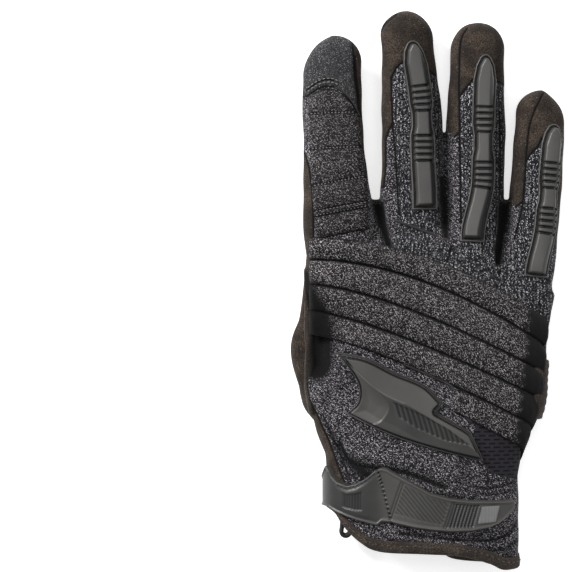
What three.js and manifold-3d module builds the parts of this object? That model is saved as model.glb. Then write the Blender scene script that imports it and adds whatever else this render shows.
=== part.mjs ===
// A padded work glove for the right hand, lying on its palm with the thumb folded under the hand.
// Millimetres. +Y runs from the cuff to the fingertips, +X to the little finger, +Z out of the hand's back.
// While it is built, Y is 0 at the crotch of the index and middle fingers, X is 0 midway across the knuckles.
import * as THREE from "three";
import { mergeVertices } from "three/addons/utils/BufferGeometryUtils.js";
import Module from "manifold-3d";

const wasm = await Module();
wasm.setup();
const { lerp, smoothstep, degToRad } = THREE.MathUtils;

// Driving sizes of the sewn shell
const WALL = 2; // knit or leather with its lining
const SEAM_GAP = 0.3; // clearance between one piece and the next
const PALM_LENGTH = 145; // the hem's lowest point to the crotch of the index and middle fingers
const WRIST_WIDTH = 86;
const WRIST_SHIFT = 3.3; // how far the wrist lies towards the thumb
const WRIST_DEPTH = 30;
const PALM_DEPTH = 27;
const KNUCKLE_DEPTH = 21;
const PALM_MIDLINE = 13; // height of the side seams along the hand
const TIP_MIDLINE = 8; // and at the fingertips
const CUFF_LENGTH = 50; // the hem's lowest point to the seam that joins cuff and hand
const FINGER_LAP = 30; // how far a finger's form runs back into the hand

const KNUCKLE_WIDTH = 113.6;
const FINGER_LENGTH = 101.2; // the middle finger, from its root
const FINGER_DEPTH = 20;

// The fingers, each in a lane as wide as the finger is at its root. Shares: lane of KNUCKLE_WIDTH; middle, end
// and bow of the lane; depth of FINGER_DEPTH; length and base, the root's height above Y = 0, of FINGER_LENGTH;
// stub, what the hand's panels cover of the finger, of its own length. Splay is in degrees.
const FINGER_SHARES = [
  {
    name: "index_finger",
    ...{ lane: 0.2905, middle: 0.824, end: 0.8, depth: 0.95, length: 0.925 },
    ...{ base: 0, splay: 2.2, bow: -0.036, stub: 0.086 },
  },
  {
    name: "middle_finger",
    ...{ lane: 0.2773, middle: 0.87, end: 0.756, depth: 1, length: 1 },
    ...{ base: 0.032, splay: 1.8, bow: 0.06, stub: 0.079 },
  },
  {
    name: "ring_finger",
    ...{ lane: 0.2262, middle: 1.043, end: 0.934, depth: 0.95, length: 0.992 },
    ...{ base: -0.009, splay: -1, bow: -0.023, stub: 0.12 },
  },
  {
    name: "little_finger",
    ...{ lane: 0.206, middle: 0.991, end: 0.94, depth: 0.85, length: 0.768 },
    ...{ base: -0.085, splay: -4.3, bow: 0.013, stub: 0.09 },
  },
];
const FINGERS = FINGER_SHARES.map((share) => {
  const lane = share.lane * KNUCKLE_WIDTH;
  const length = share.length * FINGER_LENGTH;
  return {
    ...{ name: share.name, splay: share.splay, lane, length, depth: share.depth * FINGER_DEPTH },
    ...{ middle: share.middle * lane, end: share.end * lane, bow: share.bow * lane },
    ...{ base: share.base * FINGER_LENGTH, stub: share.stub * length },
  };
});

// The thumb, folded under the palm, and how far it lifts that side of the hand
const THUMB_WIDTH = 25;
const THUMB_DEPTH = 13;
const THUMB_RISE = 8.5;
const LIFTED_DEPTH = 16.8; // the hand is pressed to this over the thumb
const THUMB_LENGTH = 72; // from its seam with the hand to the tip
const THUMB_LAP = 34;

// Layers sewn or moulded on the shell
const LEATHER = 1.6; // palm pads and overlays
const RIB_BASE = 1;
const RIB_HEIGHT = 2.6;
const RIB_PITCH = 10.8;
const RIB_GROOVE = 1.4;
const RIB_SWEEP = 38; // how far the ribs fall from the index side to the little-finger side
const GUARD_WIDTH = 11.4;
const GUARD_FLANGE = 1.2;
const GUARD_HEIGHT = 4.4;
const GUARD_LIP = 1.3; // what shows of the flange round the raised body
const GUARD_GROOVE = 1.0;
const GUARD_GROOVE_PITCH = 2.8;
const PLATE_FLANGE = 1.2;
const PLATE_LIP = 2.6;
const PLATE_HEIGHT = 3.2;
const PLATE_CLEARANCE = 7.6; // from the lowest rib's start to the plate's upper tip
const STRAP_WIDTH = 17.5;
const STRAP_THICKNESS = 2.4;
const REFLECTOR_THICKNESS = 0.6;
const TAB_THICKNESS = 1.2;
const LOOP_THICKNESS = 1.2;
const LOOP_LENGTH = 16;
const LOOP_RADIUS = 2.5;
const LOOP_WIDTH = 8;
const LOOP_FOOT = 4; // height of its lower edge

// Mesh fineness
const PALM_SIDES = 28;
const FINGER_SIDES = 12;
const SEAM_STEPS = 5;
const TIP_SHARES = [0.4, 0.7, 0.9, 0.99]; // stations over a rounded tip
const FAR = 400; // beyond everything

// The palm from hem to knuckles; broad is 0 at the wrist's width and 1 at the knuckles'
const PALM_SECTIONS = [
  { along: 0, broad: 0, shift: 1, deep: 0 },
  { along: 0.1, broad: 0, shift: 1, deep: 0 },
  { along: 0.2, broad: 0, shift: 1, deep: 0 },
  { along: 0.28, broad: 0, shift: 1, deep: 0 },
  { along: 0.35, broad: 0.08, shift: 0.9, deep: 0.05 },
  { along: 0.42, broad: 0.37, shift: 0.8, deep: 0.2 },
  { along: 0.49, broad: 0.6, shift: 0.7, deep: 0.45 },
  { along: 0.56, broad: 0.73, shift: 0.6, deep: 0.75 },
  { along: 0.64, broad: 0.77, shift: 0.5, deep: 1 },
  { along: 0.72, broad: 0.8, shift: 0.45, deep: 1.1 },
  { along: 0.8, broad: 0.83, shift: 0.4, deep: 1.3 },
  { along: 0.88, broad: 0.89, shift: 0.3, deep: 1.6 },
  { along: 0.96, broad: 0.96, shift: 0.1, deep: 1.95 },
  { along: 1.02, broad: 0.97, shift: 0, deep: 2.4 },
  { along: 1.04, broad: 0.96, shift: 0, deep: 3.2 },
  { along: 1.048, broad: 0.95, shift: 0, deep: 4.4 },
];

const COLOURS = {
  leather: [0x3b3632, 0.85],
  knit: [0x2e2d30, 0.9],
  mesh: [0x27272d, 0.9],
  rubber: [0x454543, 0.55],
  grip: [0x3c3e42, 0.95],
  webbing: [0x232326, 0.9],
  reflector: [0x8d8d8d, 0.4],
};

const signedPower = (value, power) => Math.sign(value) * Math.abs(value) ** power;
const between = (low, high, value) => Math.min(high, Math.max(low, value));

// Solids from three.js geometry
function solidOf(geometry) {
  const plain = new THREE.BufferGeometry().setAttribute("position", geometry.getAttribute("position"));
  plain.setIndex(geometry.index);
  const merged = mergeVertices(plain, 1e-4);
  return new wasm.Manifold(
    new wasm.Mesh({
      numProp: 3,
      vertProperties: new Float32Array(merged.attributes.position.array),
      triVerts: new Uint32Array(merged.index.array),
    }),
  );
}

// A closed skin through rings of points; each end is closed by strips from one side of the ring to the other
function loft(rings) {
  const count = rings[0].length;
  const index = [];
  for (let ring = 0; ring + 1 < rings.length; ring++) {
    for (let side = 0; side < count; side++) {
      const a = ring * count + side;
      const b = ring * count + ((side + 1) % count);
      index.push(a, b + count, b, a, a + count, b + count);
    }
  }
  for (let side = 0; side + 1 < count / 2; side++) {
    const [a, b, c, d] = [side, side + 1, count - 2 - side, count - 1 - side];
    index.push(a, b, c, a, c, d);
    const last = (rings.length - 1) * count;
    index.push(last + a, last + c, last + b, last + a, last + d, last + c);
  }
  const geometry = new THREE.BufferGeometry().setFromPoints(rings.flat());
  geometry.setIndex(index);
  return solidOf(geometry);
}

function prism(outline, low = -FAR, high = FAR) {
  const shape = new THREE.Shape(outline.map(([x, y]) => new THREE.Vector2(x, y)));
  const geometry = new THREE.ExtrudeGeometry(shape, { depth: high - low, bevelEnabled: false });
  return solidOf(geometry.translate(0, 0, low));
}

// The same outline, moved inwards
function shrunk(outline, distance) {
  const points = outline.map(([x, y]) => new THREE.Vector2(x, y));
  const turn = Math.sign(THREE.ShapeUtils.area(points));
  return points.map((point, i) => {
    const before = point.clone().sub(points.at(i - 1)).normalize();
    const after = points[(i + 1) % points.length].clone().sub(point).normalize();
    const normal = new THREE.Vector2(-before.y - after.y, before.x + after.x).normalize();
    const stretch = Math.min(1.8, 1 / Math.max(0.1, normal.dot(new THREE.Vector2(-after.y, after.x))));
    return point.addScaledVector(normal, turn * distance * stretch).toArray();
  });
}

const box = (x0, y0, x1, y1, low, high) => prism([[x0, y0], [x1, y0], [x1, y1], [x0, y1]], low, high);

// The lie of the glove: the height of its side seams, lifted on the index side by the thumb under it
const lift = (x, y) =>
  (1 - smoothstep(x, -0.3 * KNUCKLE_WIDTH, 0.03 * KNUCKLE_WIDTH)) *
  smoothstep(y, -0.62 * PALM_LENGTH, -0.33 * PALM_LENGTH) *
  (1 - 0.55 * smoothstep(y, 0.1 * PALM_LENGTH, 0.5 * PALM_LENGTH));
function midline(x, y) {
  const level = lerp(PALM_MIDLINE, TIP_MIDLINE, smoothstep(y, -0.25 * PALM_LENGTH, 0.55 * PALM_LENGTH));
  return level + THUMB_RISE * lift(x, y);
}

// A point of the skin at a share up of the section's depth, its outward direction, and the growth
function skin(x, y, depth, up, outward, grow) {
  const pressed = lerp(depth, Math.min(depth, LIFTED_DEPTH), lift(x, y));
  return new THREE.Vector3(x, y, Math.max(midline(x, y) + (pressed / 2) * up + outward * grow, -grow));
}

// Halves of space above and below the side seams
function half(above, gap) {
  const [columns, rows] = [14, 26];
  const [x0, y0] = [-KNUCKLE_WIDTH, -1.3 * PALM_LENGTH];
  const [width, length] = [2 * KNUCKLE_WIDTH, 2.4 * PALM_LENGTH];
  const at = (column, row, z) => {
    const [x, y] = [x0 + (width * column) / columns, y0 + (length * row) / rows];
    return new THREE.Vector3(x, y, z ?? midline(x, y) + (above ? gap / 2 : -gap / 2));
  };
  const rings = [];
  for (let row = 0; row <= rows; row++) {
    const order = Array.from({ length: columns + 1 }, (_, column) => column);
    const seam = order.map((column) => at(column, row));
    const far = order.map((column) => at(columns - column, row, above ? FAR : -FAR));
    rings.push(above ? [...seam, ...far] : [...seam, ...far].reverse());
  }
  return loft(rings);
}

// How far the hand reaches at x, so that its end follows the arc of the finger roots
function knuckleArc(x) {
  const crest = FINGERS[0].lane + FINGERS[1].lane - KNUCKLE_WIDTH / 2;
  if (x < crest) return -0.04 * PALM_LENGTH * Math.min((crest - x) / FINGERS[0].lane, 1.4) ** 2;
  return -0.1 * PALM_LENGTH * Math.min((x - crest) / FINGERS[2].lane, 1.4) ** 1.3;
}

function palmRing({ along, broad, shift, deep }, grow, end = 0) {
  const halfWidth = lerp(WRIST_WIDTH, KNUCKLE_WIDTH, broad) / 2 + grow;
  const depth = deep <= 1 ? lerp(WRIST_DEPTH, PALM_DEPTH, deep) : lerp(PALM_DEPTH, KNUCKLE_DEPTH, deep - 1);
  return Array.from({ length: PALM_SIDES }, (_, side) => {
    const angle = (2 * Math.PI * (side + 0.5)) / PALM_SIDES;
    const [across, up] = [signedPower(Math.cos(angle), 0.8), signedPower(Math.sin(angle), 0.8)];
    const x = -WRIST_SHIFT * shift + halfWidth * across;
    const y = -PALM_LENGTH * (1 - along) + knuckleArc(x) * between(0, 1, along) ** 4 + end;
    return skin(x, y, depth, up, up, grow);
  });
}

function palmForm(grow, mouth = 0) {
  const rings = PALM_SECTIONS.map((section) => palmRing(section, grow, section.along > 1 ? grow : 0));
  const first = mouth ? [palmRing(PALM_SECTIONS[0], grow, -mouth)] : [];
  return loft([...first, ...rings]);
}

// A finger's own frame: root, direction to the tip and direction across
function fingerFrame(order) {
  const finger = FINGERS[order];
  const before = FINGERS.slice(0, order).reduce((sum, other) => sum + other.lane, 0);
  const angle = degToRad(90 + finger.splay);
  const along = new THREE.Vector2(Math.cos(angle), Math.sin(angle));
  return {
    ...finger,
    root: new THREE.Vector2(before + finger.lane / 2 - KNUCKLE_WIDTH / 2, finger.base),
    along,
    across: new THREE.Vector2(along.y, -along.x),
  };
}

const FRAMES = FINGERS.map((_, order) => fingerFrame(order));

// The point of a finger's plan at a distance from the root, and to the little-finger side of its axis
const inPlan = (frame, distance, aside) => {
  const side = aside + frame.bow * Math.sin(Math.PI * between(0, 1, distance / frame.length));
  return [
    frame.root.x + frame.along.x * distance + frame.across.x * side,
    frame.root.y + frame.along.y * distance + frame.across.y * side,
  ];
};

function fingerWidth({ lane, middle, end, length }, distance) {
  const share = distance / length;
  return share < 0.5
    ? lerp(0.965 * lane, middle, smoothstep(share, 0.05, 0.5))
    : lerp(middle, end, smoothstep(share, 0.5, 0.85));
}

function fingerForm(frame, grow) {
  const { length, end, depth } = frame;
  const tip = end / 2 + grow;
  const straight = length - end / 2;
  const steps = Math.round((straight + FINGER_LAP) / 14);
  const stations = Array.from({ length: steps + 1 }, (_, i) => lerp(-FINGER_LAP, straight, i / steps));
  stations.push(...TIP_SHARES.map((share) => straight + tip * share));
  return loft(
    stations.map((distance) => {
      const over = between(0, 1, (distance - straight) / tip);
      const round = Math.sqrt(1 - over * over);
      const emerging = lerp(0.7, 1, smoothstep(distance, -FINGER_LAP, 0));
      const halfWidth = ((fingerWidth(frame, distance) / 2) * emerging + grow) * round;
      const height = depth * emerging * lerp(1, 0.82, between(0, 1, distance / length)) * round ** 0.8;
      return Array.from({ length: FINGER_SIDES }, (_, side) => {
        const angle = (2 * Math.PI * (side + 0.5)) / FINGER_SIDES;
        const [across, up] = [signedPower(Math.cos(angle), 0.82), signedPower(Math.sin(angle), 0.82)];
        const [x, y] = inPlan(frame, distance, halfWidth * across);
        return skin(x, y, height, up, up * round ** 0.8, grow);
      });
    }),
  );
}

// The thumb's axis runs out through the underside of the hand and forward beneath it
const THUMB_BOTTOM = -(SEAM_GAP + LEATHER);
const THUMB_LEVEL = THUMB_BOTTOM + THUMB_DEPTH / 2;
const THUMB_BEND = -0.33 * PALM_LENGTH;
const THUMB_AXIS = new THREE.CatmullRomCurve3([
  new THREE.Vector3(-0.25 * WRIST_WIDTH, -0.6 * PALM_LENGTH, THUMB_LEVEL + THUMB_DEPTH / 4),
  new THREE.Vector3(-0.44 * KNUCKLE_WIDTH, THUMB_BEND, THUMB_LEVEL),
  new THREE.Vector3(-0.405 * KNUCKLE_WIDTH, THUMB_BEND + 0.45 * THUMB_LENGTH, THUMB_LEVEL),
  new THREE.Vector3(-0.355 * KNUCKLE_WIDTH, THUMB_BEND + THUMB_LENGTH, THUMB_LEVEL),
]);
const THUMB_SPAN = THUMB_AXIS.getLength();

function thumbForm(grow) {
  const tip = THUMB_WIDTH / 2 + grow;
  const straight = THUMB_SPAN - THUMB_WIDTH / 2;
  const steps = Math.round(straight / 9);
  const stations = Array.from({ length: steps + 1 }, (_, i) => (straight * i) / steps);
  stations.push(...TIP_SHARES.map((share) => straight + tip * share));
  return loft(
    stations.map((distance) => {
      const over = between(0, 1, (distance - straight) / tip);
      const round = Math.sqrt(1 - over * over);
      const share = between(0, 1, distance / THUMB_SPAN);
      const centre = THUMB_AXIS.getPointAt(share);
      const ahead = THUMB_AXIS.getTangentAt(share);
      centre.addScaledVector(ahead, Math.max(0, distance - THUMB_SPAN));
      const across = new THREE.Vector3(ahead.y, -ahead.x, 0).normalize();
      return Array.from({ length: FINGER_SIDES }, (_, side) => {
        const angle = (2 * Math.PI * (side + 0.5)) / FINGER_SIDES;
        const wide = (THUMB_WIDTH / 2 + grow) * round * signedPower(Math.cos(angle), 0.82);
        const high = ((THUMB_DEPTH / 2) * round ** 0.7 + grow * round) * signedPower(Math.sin(angle), 0.82);
        const point = centre.clone().addScaledVector(across, wide);
        return point.setZ(Math.max(point.z + high, THUMB_BOTTOM - grow));
      });
    }),
  );
}

// Everything on the far side of a line in plan, through a point and square to a direction
function beyond(point, ahead, distance) {
  const aside = new THREE.Vector2(ahead.y, -ahead.x);
  const start = new THREE.Vector2(point.x, point.y);
  const corner = (forward, sideways) =>
    start.clone().addScaledVector(ahead, forward).addScaledVector(aside, sideways).toArray();
  return prism([corner(distance, -FAR), corner(FAR, -FAR), corner(FAR, FAR), corner(distance, FAR)]);
}

const THUMB_CUT = THUMB_AXIS.getPointAt(THUMB_LAP / THUMB_SPAN);
const THUMB_AHEAD = THUMB_AXIS.getTangentAt(THUMB_LAP / THUMB_SPAN);
const thumbBeyond = (distance) =>
  beyond(THUMB_CUT, new THREE.Vector2(THUMB_AHEAD.x, THUMB_AHEAD.y).normalize(), distance);
const fingerBeyond = (frame, distance) => beyond(frame.root, frame.along, distance);

// The hand with short stubs of its fingers and thumb
function handForm() {
  const stubs = FRAMES.map((frame) => fingerForm(frame, 0).subtract(fingerBeyond(frame, frame.stub)));
  return wasm.Manifold.union([palmForm(0), ...stubs, thumbForm(0).subtract(thumbBeyond(0))]);
}

const grown = new Map();
function gloveForm(grow) {
  if (!grown.has(grow)) {
    grown.set(grow, wasm.Manifold.union([palmForm(grow), ...FRAMES.map((frame) => fingerForm(frame, grow))]));
  }
  return grown.get(grow);
}

const ABOVE = half(true, SEAM_GAP);
const BELOW = half(false, SEAM_GAP);

// A layer that lies on the skin between two heights, inside an outline drawn in plan
function layer(outline, top, low = SEAM_GAP, side = ABOVE) {
  return gloveForm(top).intersect(prism(outline)).intersect(side).subtract(gloveForm(low));
}

const root = new THREE.Group();
function add(name, solid, finish) {
  const { vertProperties, triVerts } = solid.getMesh();
  const geometry = new THREE.BufferGeometry();
  geometry.setAttribute("position", new THREE.BufferAttribute(new Float32Array(vertProperties), 3));
  geometry.setIndex(new THREE.BufferAttribute(new Uint32Array(triVerts), 1));
  geometry.computeVertexNormals();
  const [color, roughness] = COLOURS[finish];
  const mesh = new THREE.Mesh(geometry, new THREE.MeshStandardMaterial({ color, roughness, metalness: 0 }));
  mesh.name = name;
  root.add(mesh);
}

// Hem lines in plan: shares of the wrist's width from its thumb side, and of the cuff's length from its end
const BACK_HEM = [
  { across: -0.1, up: 0.62 },
  { across: 0.03, up: 0.52 },
  { across: 0.09, up: 0.38 },
  { across: 0.17, up: 0.25 },
  { across: 0.27, up: 0.17 },
  { across: 0.5, up: 0.15 },
  { across: 0.7, up: 0.13 },
  { across: 0.85, up: 0.06 },
  { across: 0.94, up: 0 },
  { across: 1.1, up: 0.04 },
];
const PALM_HEM = [
  { across: -0.1, up: 0.5 },
  { across: 0.1, up: 0.34 },
  { across: 0.5, up: 0.28 },
  { across: 0.6, up: 0.2 },
  { across: 0.68, up: 0.06 },
  { across: 1.1, up: 0.02 },
];
const wristX = (across) => -WRIST_SHIFT + WRIST_WIDTH * (across - 0.5);
const hemY = (up) => -PALM_LENGTH + CUFF_LENGTH * up;
function belowHem(hem) {
  const line = hem.map(({ across, up }) => [wristX(across), hemY(up)]);
  return prism([...line, [FAR, line.at(-1)[1]], [FAR, -FAR], [-FAR, -FAR], [-FAR, line[0][1]]]);
}

function addShell() {
  const hollow = wasm.Manifold.union([palmForm(-WALL, 1), gloveForm(-WALL), thumbForm(-WALL)]);
  const whole = handForm().subtract(hollow);
  const seam = hemY(1);
  const hand = box(-FAR, seam + SEAM_GAP / 2, FAR, FAR, -FAR, FAR);
  const cuff = box(-FAR, -FAR, FAR, seam - SEAM_GAP / 2, -FAR, FAR);
  add("back_panel", whole.intersect(hand).intersect(ABOVE), "knit");
  add("palm_panel", whole.intersect(hand).intersect(BELOW), "leather");
  add("cuff_back", whole.intersect(cuff).intersect(ABOVE).subtract(belowHem(BACK_HEM)), "knit");
  add("cuff_palm", whole.intersect(cuff).intersect(BELOW).subtract(belowHem(PALM_HEM)), "leather");
}

function addFingers() {
  for (const frame of FRAMES) {
    const stall = fingerForm(frame, 0).subtract(fingerForm(frame, -WALL));
    add(frame.name, stall.intersect(fingerBeyond(frame, frame.stub + SEAM_GAP)), "leather");
  }
  const thumb = thumbForm(0).subtract(thumbForm(-WALL));
  add("thumb", thumb.intersect(thumbBeyond(SEAM_GAP)).subtract(gloveForm(SEAM_GAP)), "leather");
}

// Where the folded tab in the little-finger seam lies
const sideTabPrism = (gap) =>
  box(0.42 * KNUCKLE_WIDTH - gap, -0.53 * PALM_LENGTH - gap, FAR, -0.395 * PALM_LENGTH + gap, -FAR, FAR);

// The padded panel over the knuckles: ribs that sweep down from the index side, drawn between curved seams
const PANEL_LEFT = -0.49 * KNUCKLE_WIDTH;
const PANEL_RIGHT = 0.455 * KNUCKLE_WIDTH;
const RIB_TOP = 0.016 * PALM_LENGTH; // where the first seam starts
const LAST_RIB_START = 0.6; // the last rib covers only the little-finger side of the panel
const RIB_SEAMS = [
  { down: 0, sweep: 0.95, bow: 2 },
  { down: 0.92, sweep: 1.02, bow: 1.85 },
  { down: 1.92, sweep: 1.065, bow: 1.45 },
  { down: 3, sweep: 1.08, bow: 1.3 },
  { down: 4, sweep: 1.15, bow: 1.28 },
  { down: 4.06, sweep: 1.47, bow: 1 },
];
function seamY(order, x) {
  const { down, sweep, bow } = RIB_SEAMS[order];
  const share = between(0, 1, (x - PANEL_LEFT) / (PANEL_RIGHT - PANEL_LEFT));
  return RIB_TOP - down * RIB_PITCH - sweep * RIB_SWEEP * share ** bow;
}

const seamPoints = (order, from, to, inset) =>
  Array.from({ length: SEAM_STEPS + 1 }, (_, i) => {
    const x = lerp(from, to, i / SEAM_STEPS);
    return [x, seamY(order, x) + inset];
  });

function addKnucklePad() {
  const last = RIB_SEAMS.length - 2;
  const starts = RIB_SEAMS.slice(1).map((_, order) =>
    lerp(PANEL_LEFT, PANEL_RIGHT, order === last ? LAST_RIB_START : 0),
  );
  const outline = [
    ...seamPoints(0, PANEL_LEFT, PANEL_RIGHT, 0),
    ...seamPoints(last + 1, PANEL_RIGHT, starts[last], 0),
    ...seamPoints(last, starts[last], PANEL_LEFT, 0),
  ];
  const ribs = starts.map((start, order) => {
    const [from, to] = [start + RIB_GROOVE / 2, PANEL_RIGHT - RIB_GROOVE];
    const upper = seamPoints(order, from, to, -RIB_GROOVE / 2);
    const outline = [...upper, ...seamPoints(order + 1, to, from, RIB_GROOVE / 2)];
    return layer(outline, SEAM_GAP + RIB_HEIGHT, SEAM_GAP + RIB_BASE / 2);
  });
  const pad = wasm.Manifold.union([layer(outline, SEAM_GAP + RIB_BASE), ...ribs]);
  add("knuckle_pad", pad.subtract(sideTabPrism(SEAM_GAP)), "knit");
}

// The padded strips along the back of the index finger: shares of the finger's length from its root
const INDEX_STRIPS = [
  { from: 0.035, to: 0.154 },
  { from: 0.165, to: 0.288 },
  { from: 0.288, to: 0.452 },
  { from: 0.452, to: 0.62 },
  { from: 0.62, to: 0.735 },
];

function addIndexPad() {
  const frame = FRAMES[0];
  const halfWidth = 0.34 * frame.lane;
  const outline = (from, to, inset) =>
    [[from, -1], [from, 1], [to, 1], [to, -1]].map(([share, side]) =>
      inPlan(frame, frame.length * share + inset * (share === from ? 1 : -1), side * (halfWidth - inset)),
    );
  const last = INDEX_STRIPS.at(-1).to;
  const base = layer(outline(INDEX_STRIPS[0].from, last, 0), SEAM_GAP + RIB_BASE);
  const strips = INDEX_STRIPS.map(({ from, to }) =>
    layer(outline(from, to, RIB_GROOVE / 2), SEAM_GAP + RIB_HEIGHT, SEAM_GAP + RIB_BASE / 2),
  );
  add("index_pad", wasm.Manifold.union([base, ...strips]), "knit");
}

// Moulded rubber guards on the other fingers: waisted bars with a domed end and two groups of grooves
const GUARD_SECTIONS = [
  { along: 0, wide: 1 },
  { along: 0.44, wide: 0.98 },
  { along: 0.49, wide: 0.8 },
  { along: 0.57, wide: 0.78 },
  { along: 0.62, wide: 0.96 },
  { along: 0.86, wide: 0.96 },
  { along: 0.94, wide: 0.74 },
  { along: 0.985, wide: 0.42 },
  { along: 1, wide: 0.12 },
];
// Shares: width of GUARD_WIDTH, length and start of the finger's length, aside, root and tip of its lane
const GUARDS = [
  {
    name: "middle_guard",
    ...{ finger: 1, width: 1, length: 0.752, start: 0.111, aside: 0.121, root: 0.035, tip: -0.06 },
  },
  {
    name: "ring_guard",
    ...{ finger: 2, width: 0.95, length: 0.842, start: 0.01, aside: 0.113, root: -0.187, tip: 0.008 },
  },
  {
    name: "little_guard",
    ...{ finger: 3, width: 0.91, length: 0.89, start: -0.085, aside: 0.209, root: -0.111, tip: 0.026 },
  },
].map((share) => {
  const { lane, length } = FINGERS[share.finger];
  return {
    ...{ name: share.name, finger: share.finger, width: share.width * GUARD_WIDTH },
    ...{ length: share.length * length, start: share.start * length },
    ...{ aside: share.aside * lane, root: share.root * lane, tip: share.tip * lane },
  };
});
const GROOVE_GROUPS = [0.31, 0.605]; // where each group of four starts along the guard

// A guard bends aside over its root and over its tip
function guardPoint(guard, along, aside) {
  const bend = guard.root * (1 - smoothstep(along, 0, 0.35)) + guard.tip * smoothstep(along, 0.6, 1);
  return inPlan(FRAMES[guard.finger], guard.start + guard.length * along, guard.aside + bend + aside);
}

function guardOutline(guard) {
  const side = (reach) => GUARD_SECTIONS.map(({ along, wide }) => guardPoint(guard, along, reach * wide));
  return [...side(guard.width / 2), ...side(-guard.width / 2).reverse()];
}

function addGuards() {
  for (const guard of GUARDS) {
    const outline = guardOutline(guard);
    const flange = layer(outline, SEAM_GAP + GUARD_FLANGE);
    const body = layer(shrunk(outline, GUARD_LIP), SEAM_GAP + GUARD_HEIGHT, SEAM_GAP + GUARD_FLANGE / 2);
    const grooves = GROOVE_GROUPS.flatMap((start) =>
      [0, 1, 2, 3].map((order) => {
        const from = start + (order * GUARD_GROOVE_PITCH) / guard.length;
        const to = from + GUARD_GROOVE / guard.length;
        const corners = [[from, -1], [from, 1], [to, 1], [to, -1]];
        return prism(corners.map(([along, side]) => guardPoint(guard, along, side * guard.width)));
      }),
    );
    const cut = wasm.Manifold.union(grooves).subtract(gloveForm(SEAM_GAP + GUARD_HEIGHT * 0.55));
    add(guard.name, body.subtract(cut).add(flange), "rubber");
  }
}

// The moulded plate over the back of the hand: a long tapered shield with a hollowed end towards the thumb
const PLATE_LENGTH = 66;
const PLATE_WIDTH = 49;
const PLATE_OUTLINE = [
  { across: 0, up: 1 },
  { across: 0.206, up: 0.947 },
  { across: 0.402, up: 0.816 },
  { across: 0.598, up: 0.701 },
  { across: 0.734, up: 0.526 },
  { across: 0.68, up: 0.45 },
  { across: 0.856, up: 0.317 },
  { across: 0.915, up: 0.264 },
  { across: 1, up: 0 },
  { across: 0.726, up: 0.088 },
  { across: 0.467, up: 0.192 },
  { across: 0.272, up: 0.299 },
  { across: 0.071, up: 0.438 },
  { across: 0.145, up: 0.53 },
  { across: 0.16, up: 0.66 },
  { across: 0.12, up: 0.79 },
];
const PLATE_LEFT = -0.375 * KNUCKLE_WIDTH;
const PLATE_BOTTOM = RIB_TOP - 4 * RIB_PITCH - PLATE_CLEARANCE - PLATE_WIDTH;

function addPlate() {
  const place = ({ across, up }) => [PLATE_LEFT + PLATE_LENGTH * across, PLATE_BOTTOM + PLATE_WIDTH * up];
  const outline = PLATE_OUTLINE.map(place);
  const flange = layer(outline, SEAM_GAP + PLATE_FLANGE);
  const body = layer(shrunk(outline, PLATE_LIP), SEAM_GAP + PLATE_HEIGHT, SEAM_GAP + PLATE_FLANGE / 2);
  add("hand_plate", flange.add(body), "rubber");
}

// The closure strap: over the back of the wrist, round the thumb side and under to its tab
const STRAP_MIDDLE = -0.812 * PALM_LENGTH;
const STRAP_BACK = [
  { across: -0.1, upper: 0.66, lower: 0.08 },
  { across: 0, upper: 0.77, lower: -0.03 },
  { across: 0.0625, upper: 0.58, lower: -0.18 },
  { across: 0.13, upper: 0.49, lower: -0.31 },
  { across: 0.2, upper: 0.58, lower: -0.41 },
  { across: 0.26, upper: 0.85, lower: -0.49 },
  { across: 0.286, upper: 0.97, lower: -0.38 },
  { across: 0.354, upper: 0.72, lower: -0.41 },
  { across: 0.49, upper: 0.44, lower: -0.56 },
  { across: 0.59, upper: 0.26, lower: -0.63 },
  { across: 0.74, upper: 0.17, lower: -0.67 },
  { across: 0.84, upper: 0.17, lower: -0.58 },
  { across: 0.91, upper: 0.18, lower: -0.41 },
  { across: 0.975, upper: 0.19, lower: 0.1 },
];
const STRAP_PALM = [
  { across: -0.1, upper: 0.66, lower: 0.08 },
  { across: 0, upper: 0.72, lower: -0.06 },
  { across: 0.5, upper: 0.76, lower: -0.06 },
  { across: 0.61, upper: 0.76, lower: 0.6 },
];
const REFLECTOR = [
  { across: 0.79, upper: 0.04, lower: -0.42 },
  { across: 0.86, upper: 0.06, lower: -0.4 },
];

function bandOutline(rows) {
  const edge = (which) => rows.map((row) => [wristX(row.across), STRAP_MIDDLE + STRAP_WIDTH * row[which]]);
  return [...edge("upper"), ...edge("lower").reverse()];
}

function addStrap() {
  const top = SEAM_GAP + STRAP_THICKNESS;
  const back = layer(bandOutline(STRAP_BACK), top, SEAM_GAP, half(true, 0));
  const palm = layer(bandOutline(STRAP_PALM), SEAM_GAP + LEATHER, SEAM_GAP, half(false, 0));
  add("closure_strap", back.add(palm), "rubber");
  const face = top + SEAM_GAP;
  add("strap_reflector", layer(bandOutline(REFLECTOR), face + REFLECTOR_THICKNESS, face), "reflector");
}

// Leather pieces on the underside
const HEEL_PAD = [
  { across: 0.97, up: 0.62 },
  { across: 0.99, up: 0.3 },
  { across: 0.95, up: 0.12 },
  { across: 0.86, up: 0.04 },
  { across: 0.52, up: 0.03 },
  { across: 0.46, up: 0.16 },
  { across: 0.46, up: 0.35 },
  { across: 0.5, up: 0.5 },
  { across: 0.66, up: 0.72 },
  { across: 0.8, up: 0.97 },
  { across: 0.9, up: 0.99 },
];
const HEEL_PAD_LENGTH = 44;
const CENTRE_OVERLAY = [
  { across: 0.93, up: 0.64 },
  { across: 0.74, up: 0.67 },
  { across: 0.66, up: 0.56 },
  { across: 0.58, up: 0.54 },
  { across: 0.5, up: 0.66 },
  { across: 0.5, up: 0.85 },
  { across: 0.62, up: 0.875 },
  { across: 0.93, up: 0.87 },
];
const knuckleX = (across) => KNUCKLE_WIDTH * (across - 0.5);

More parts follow.
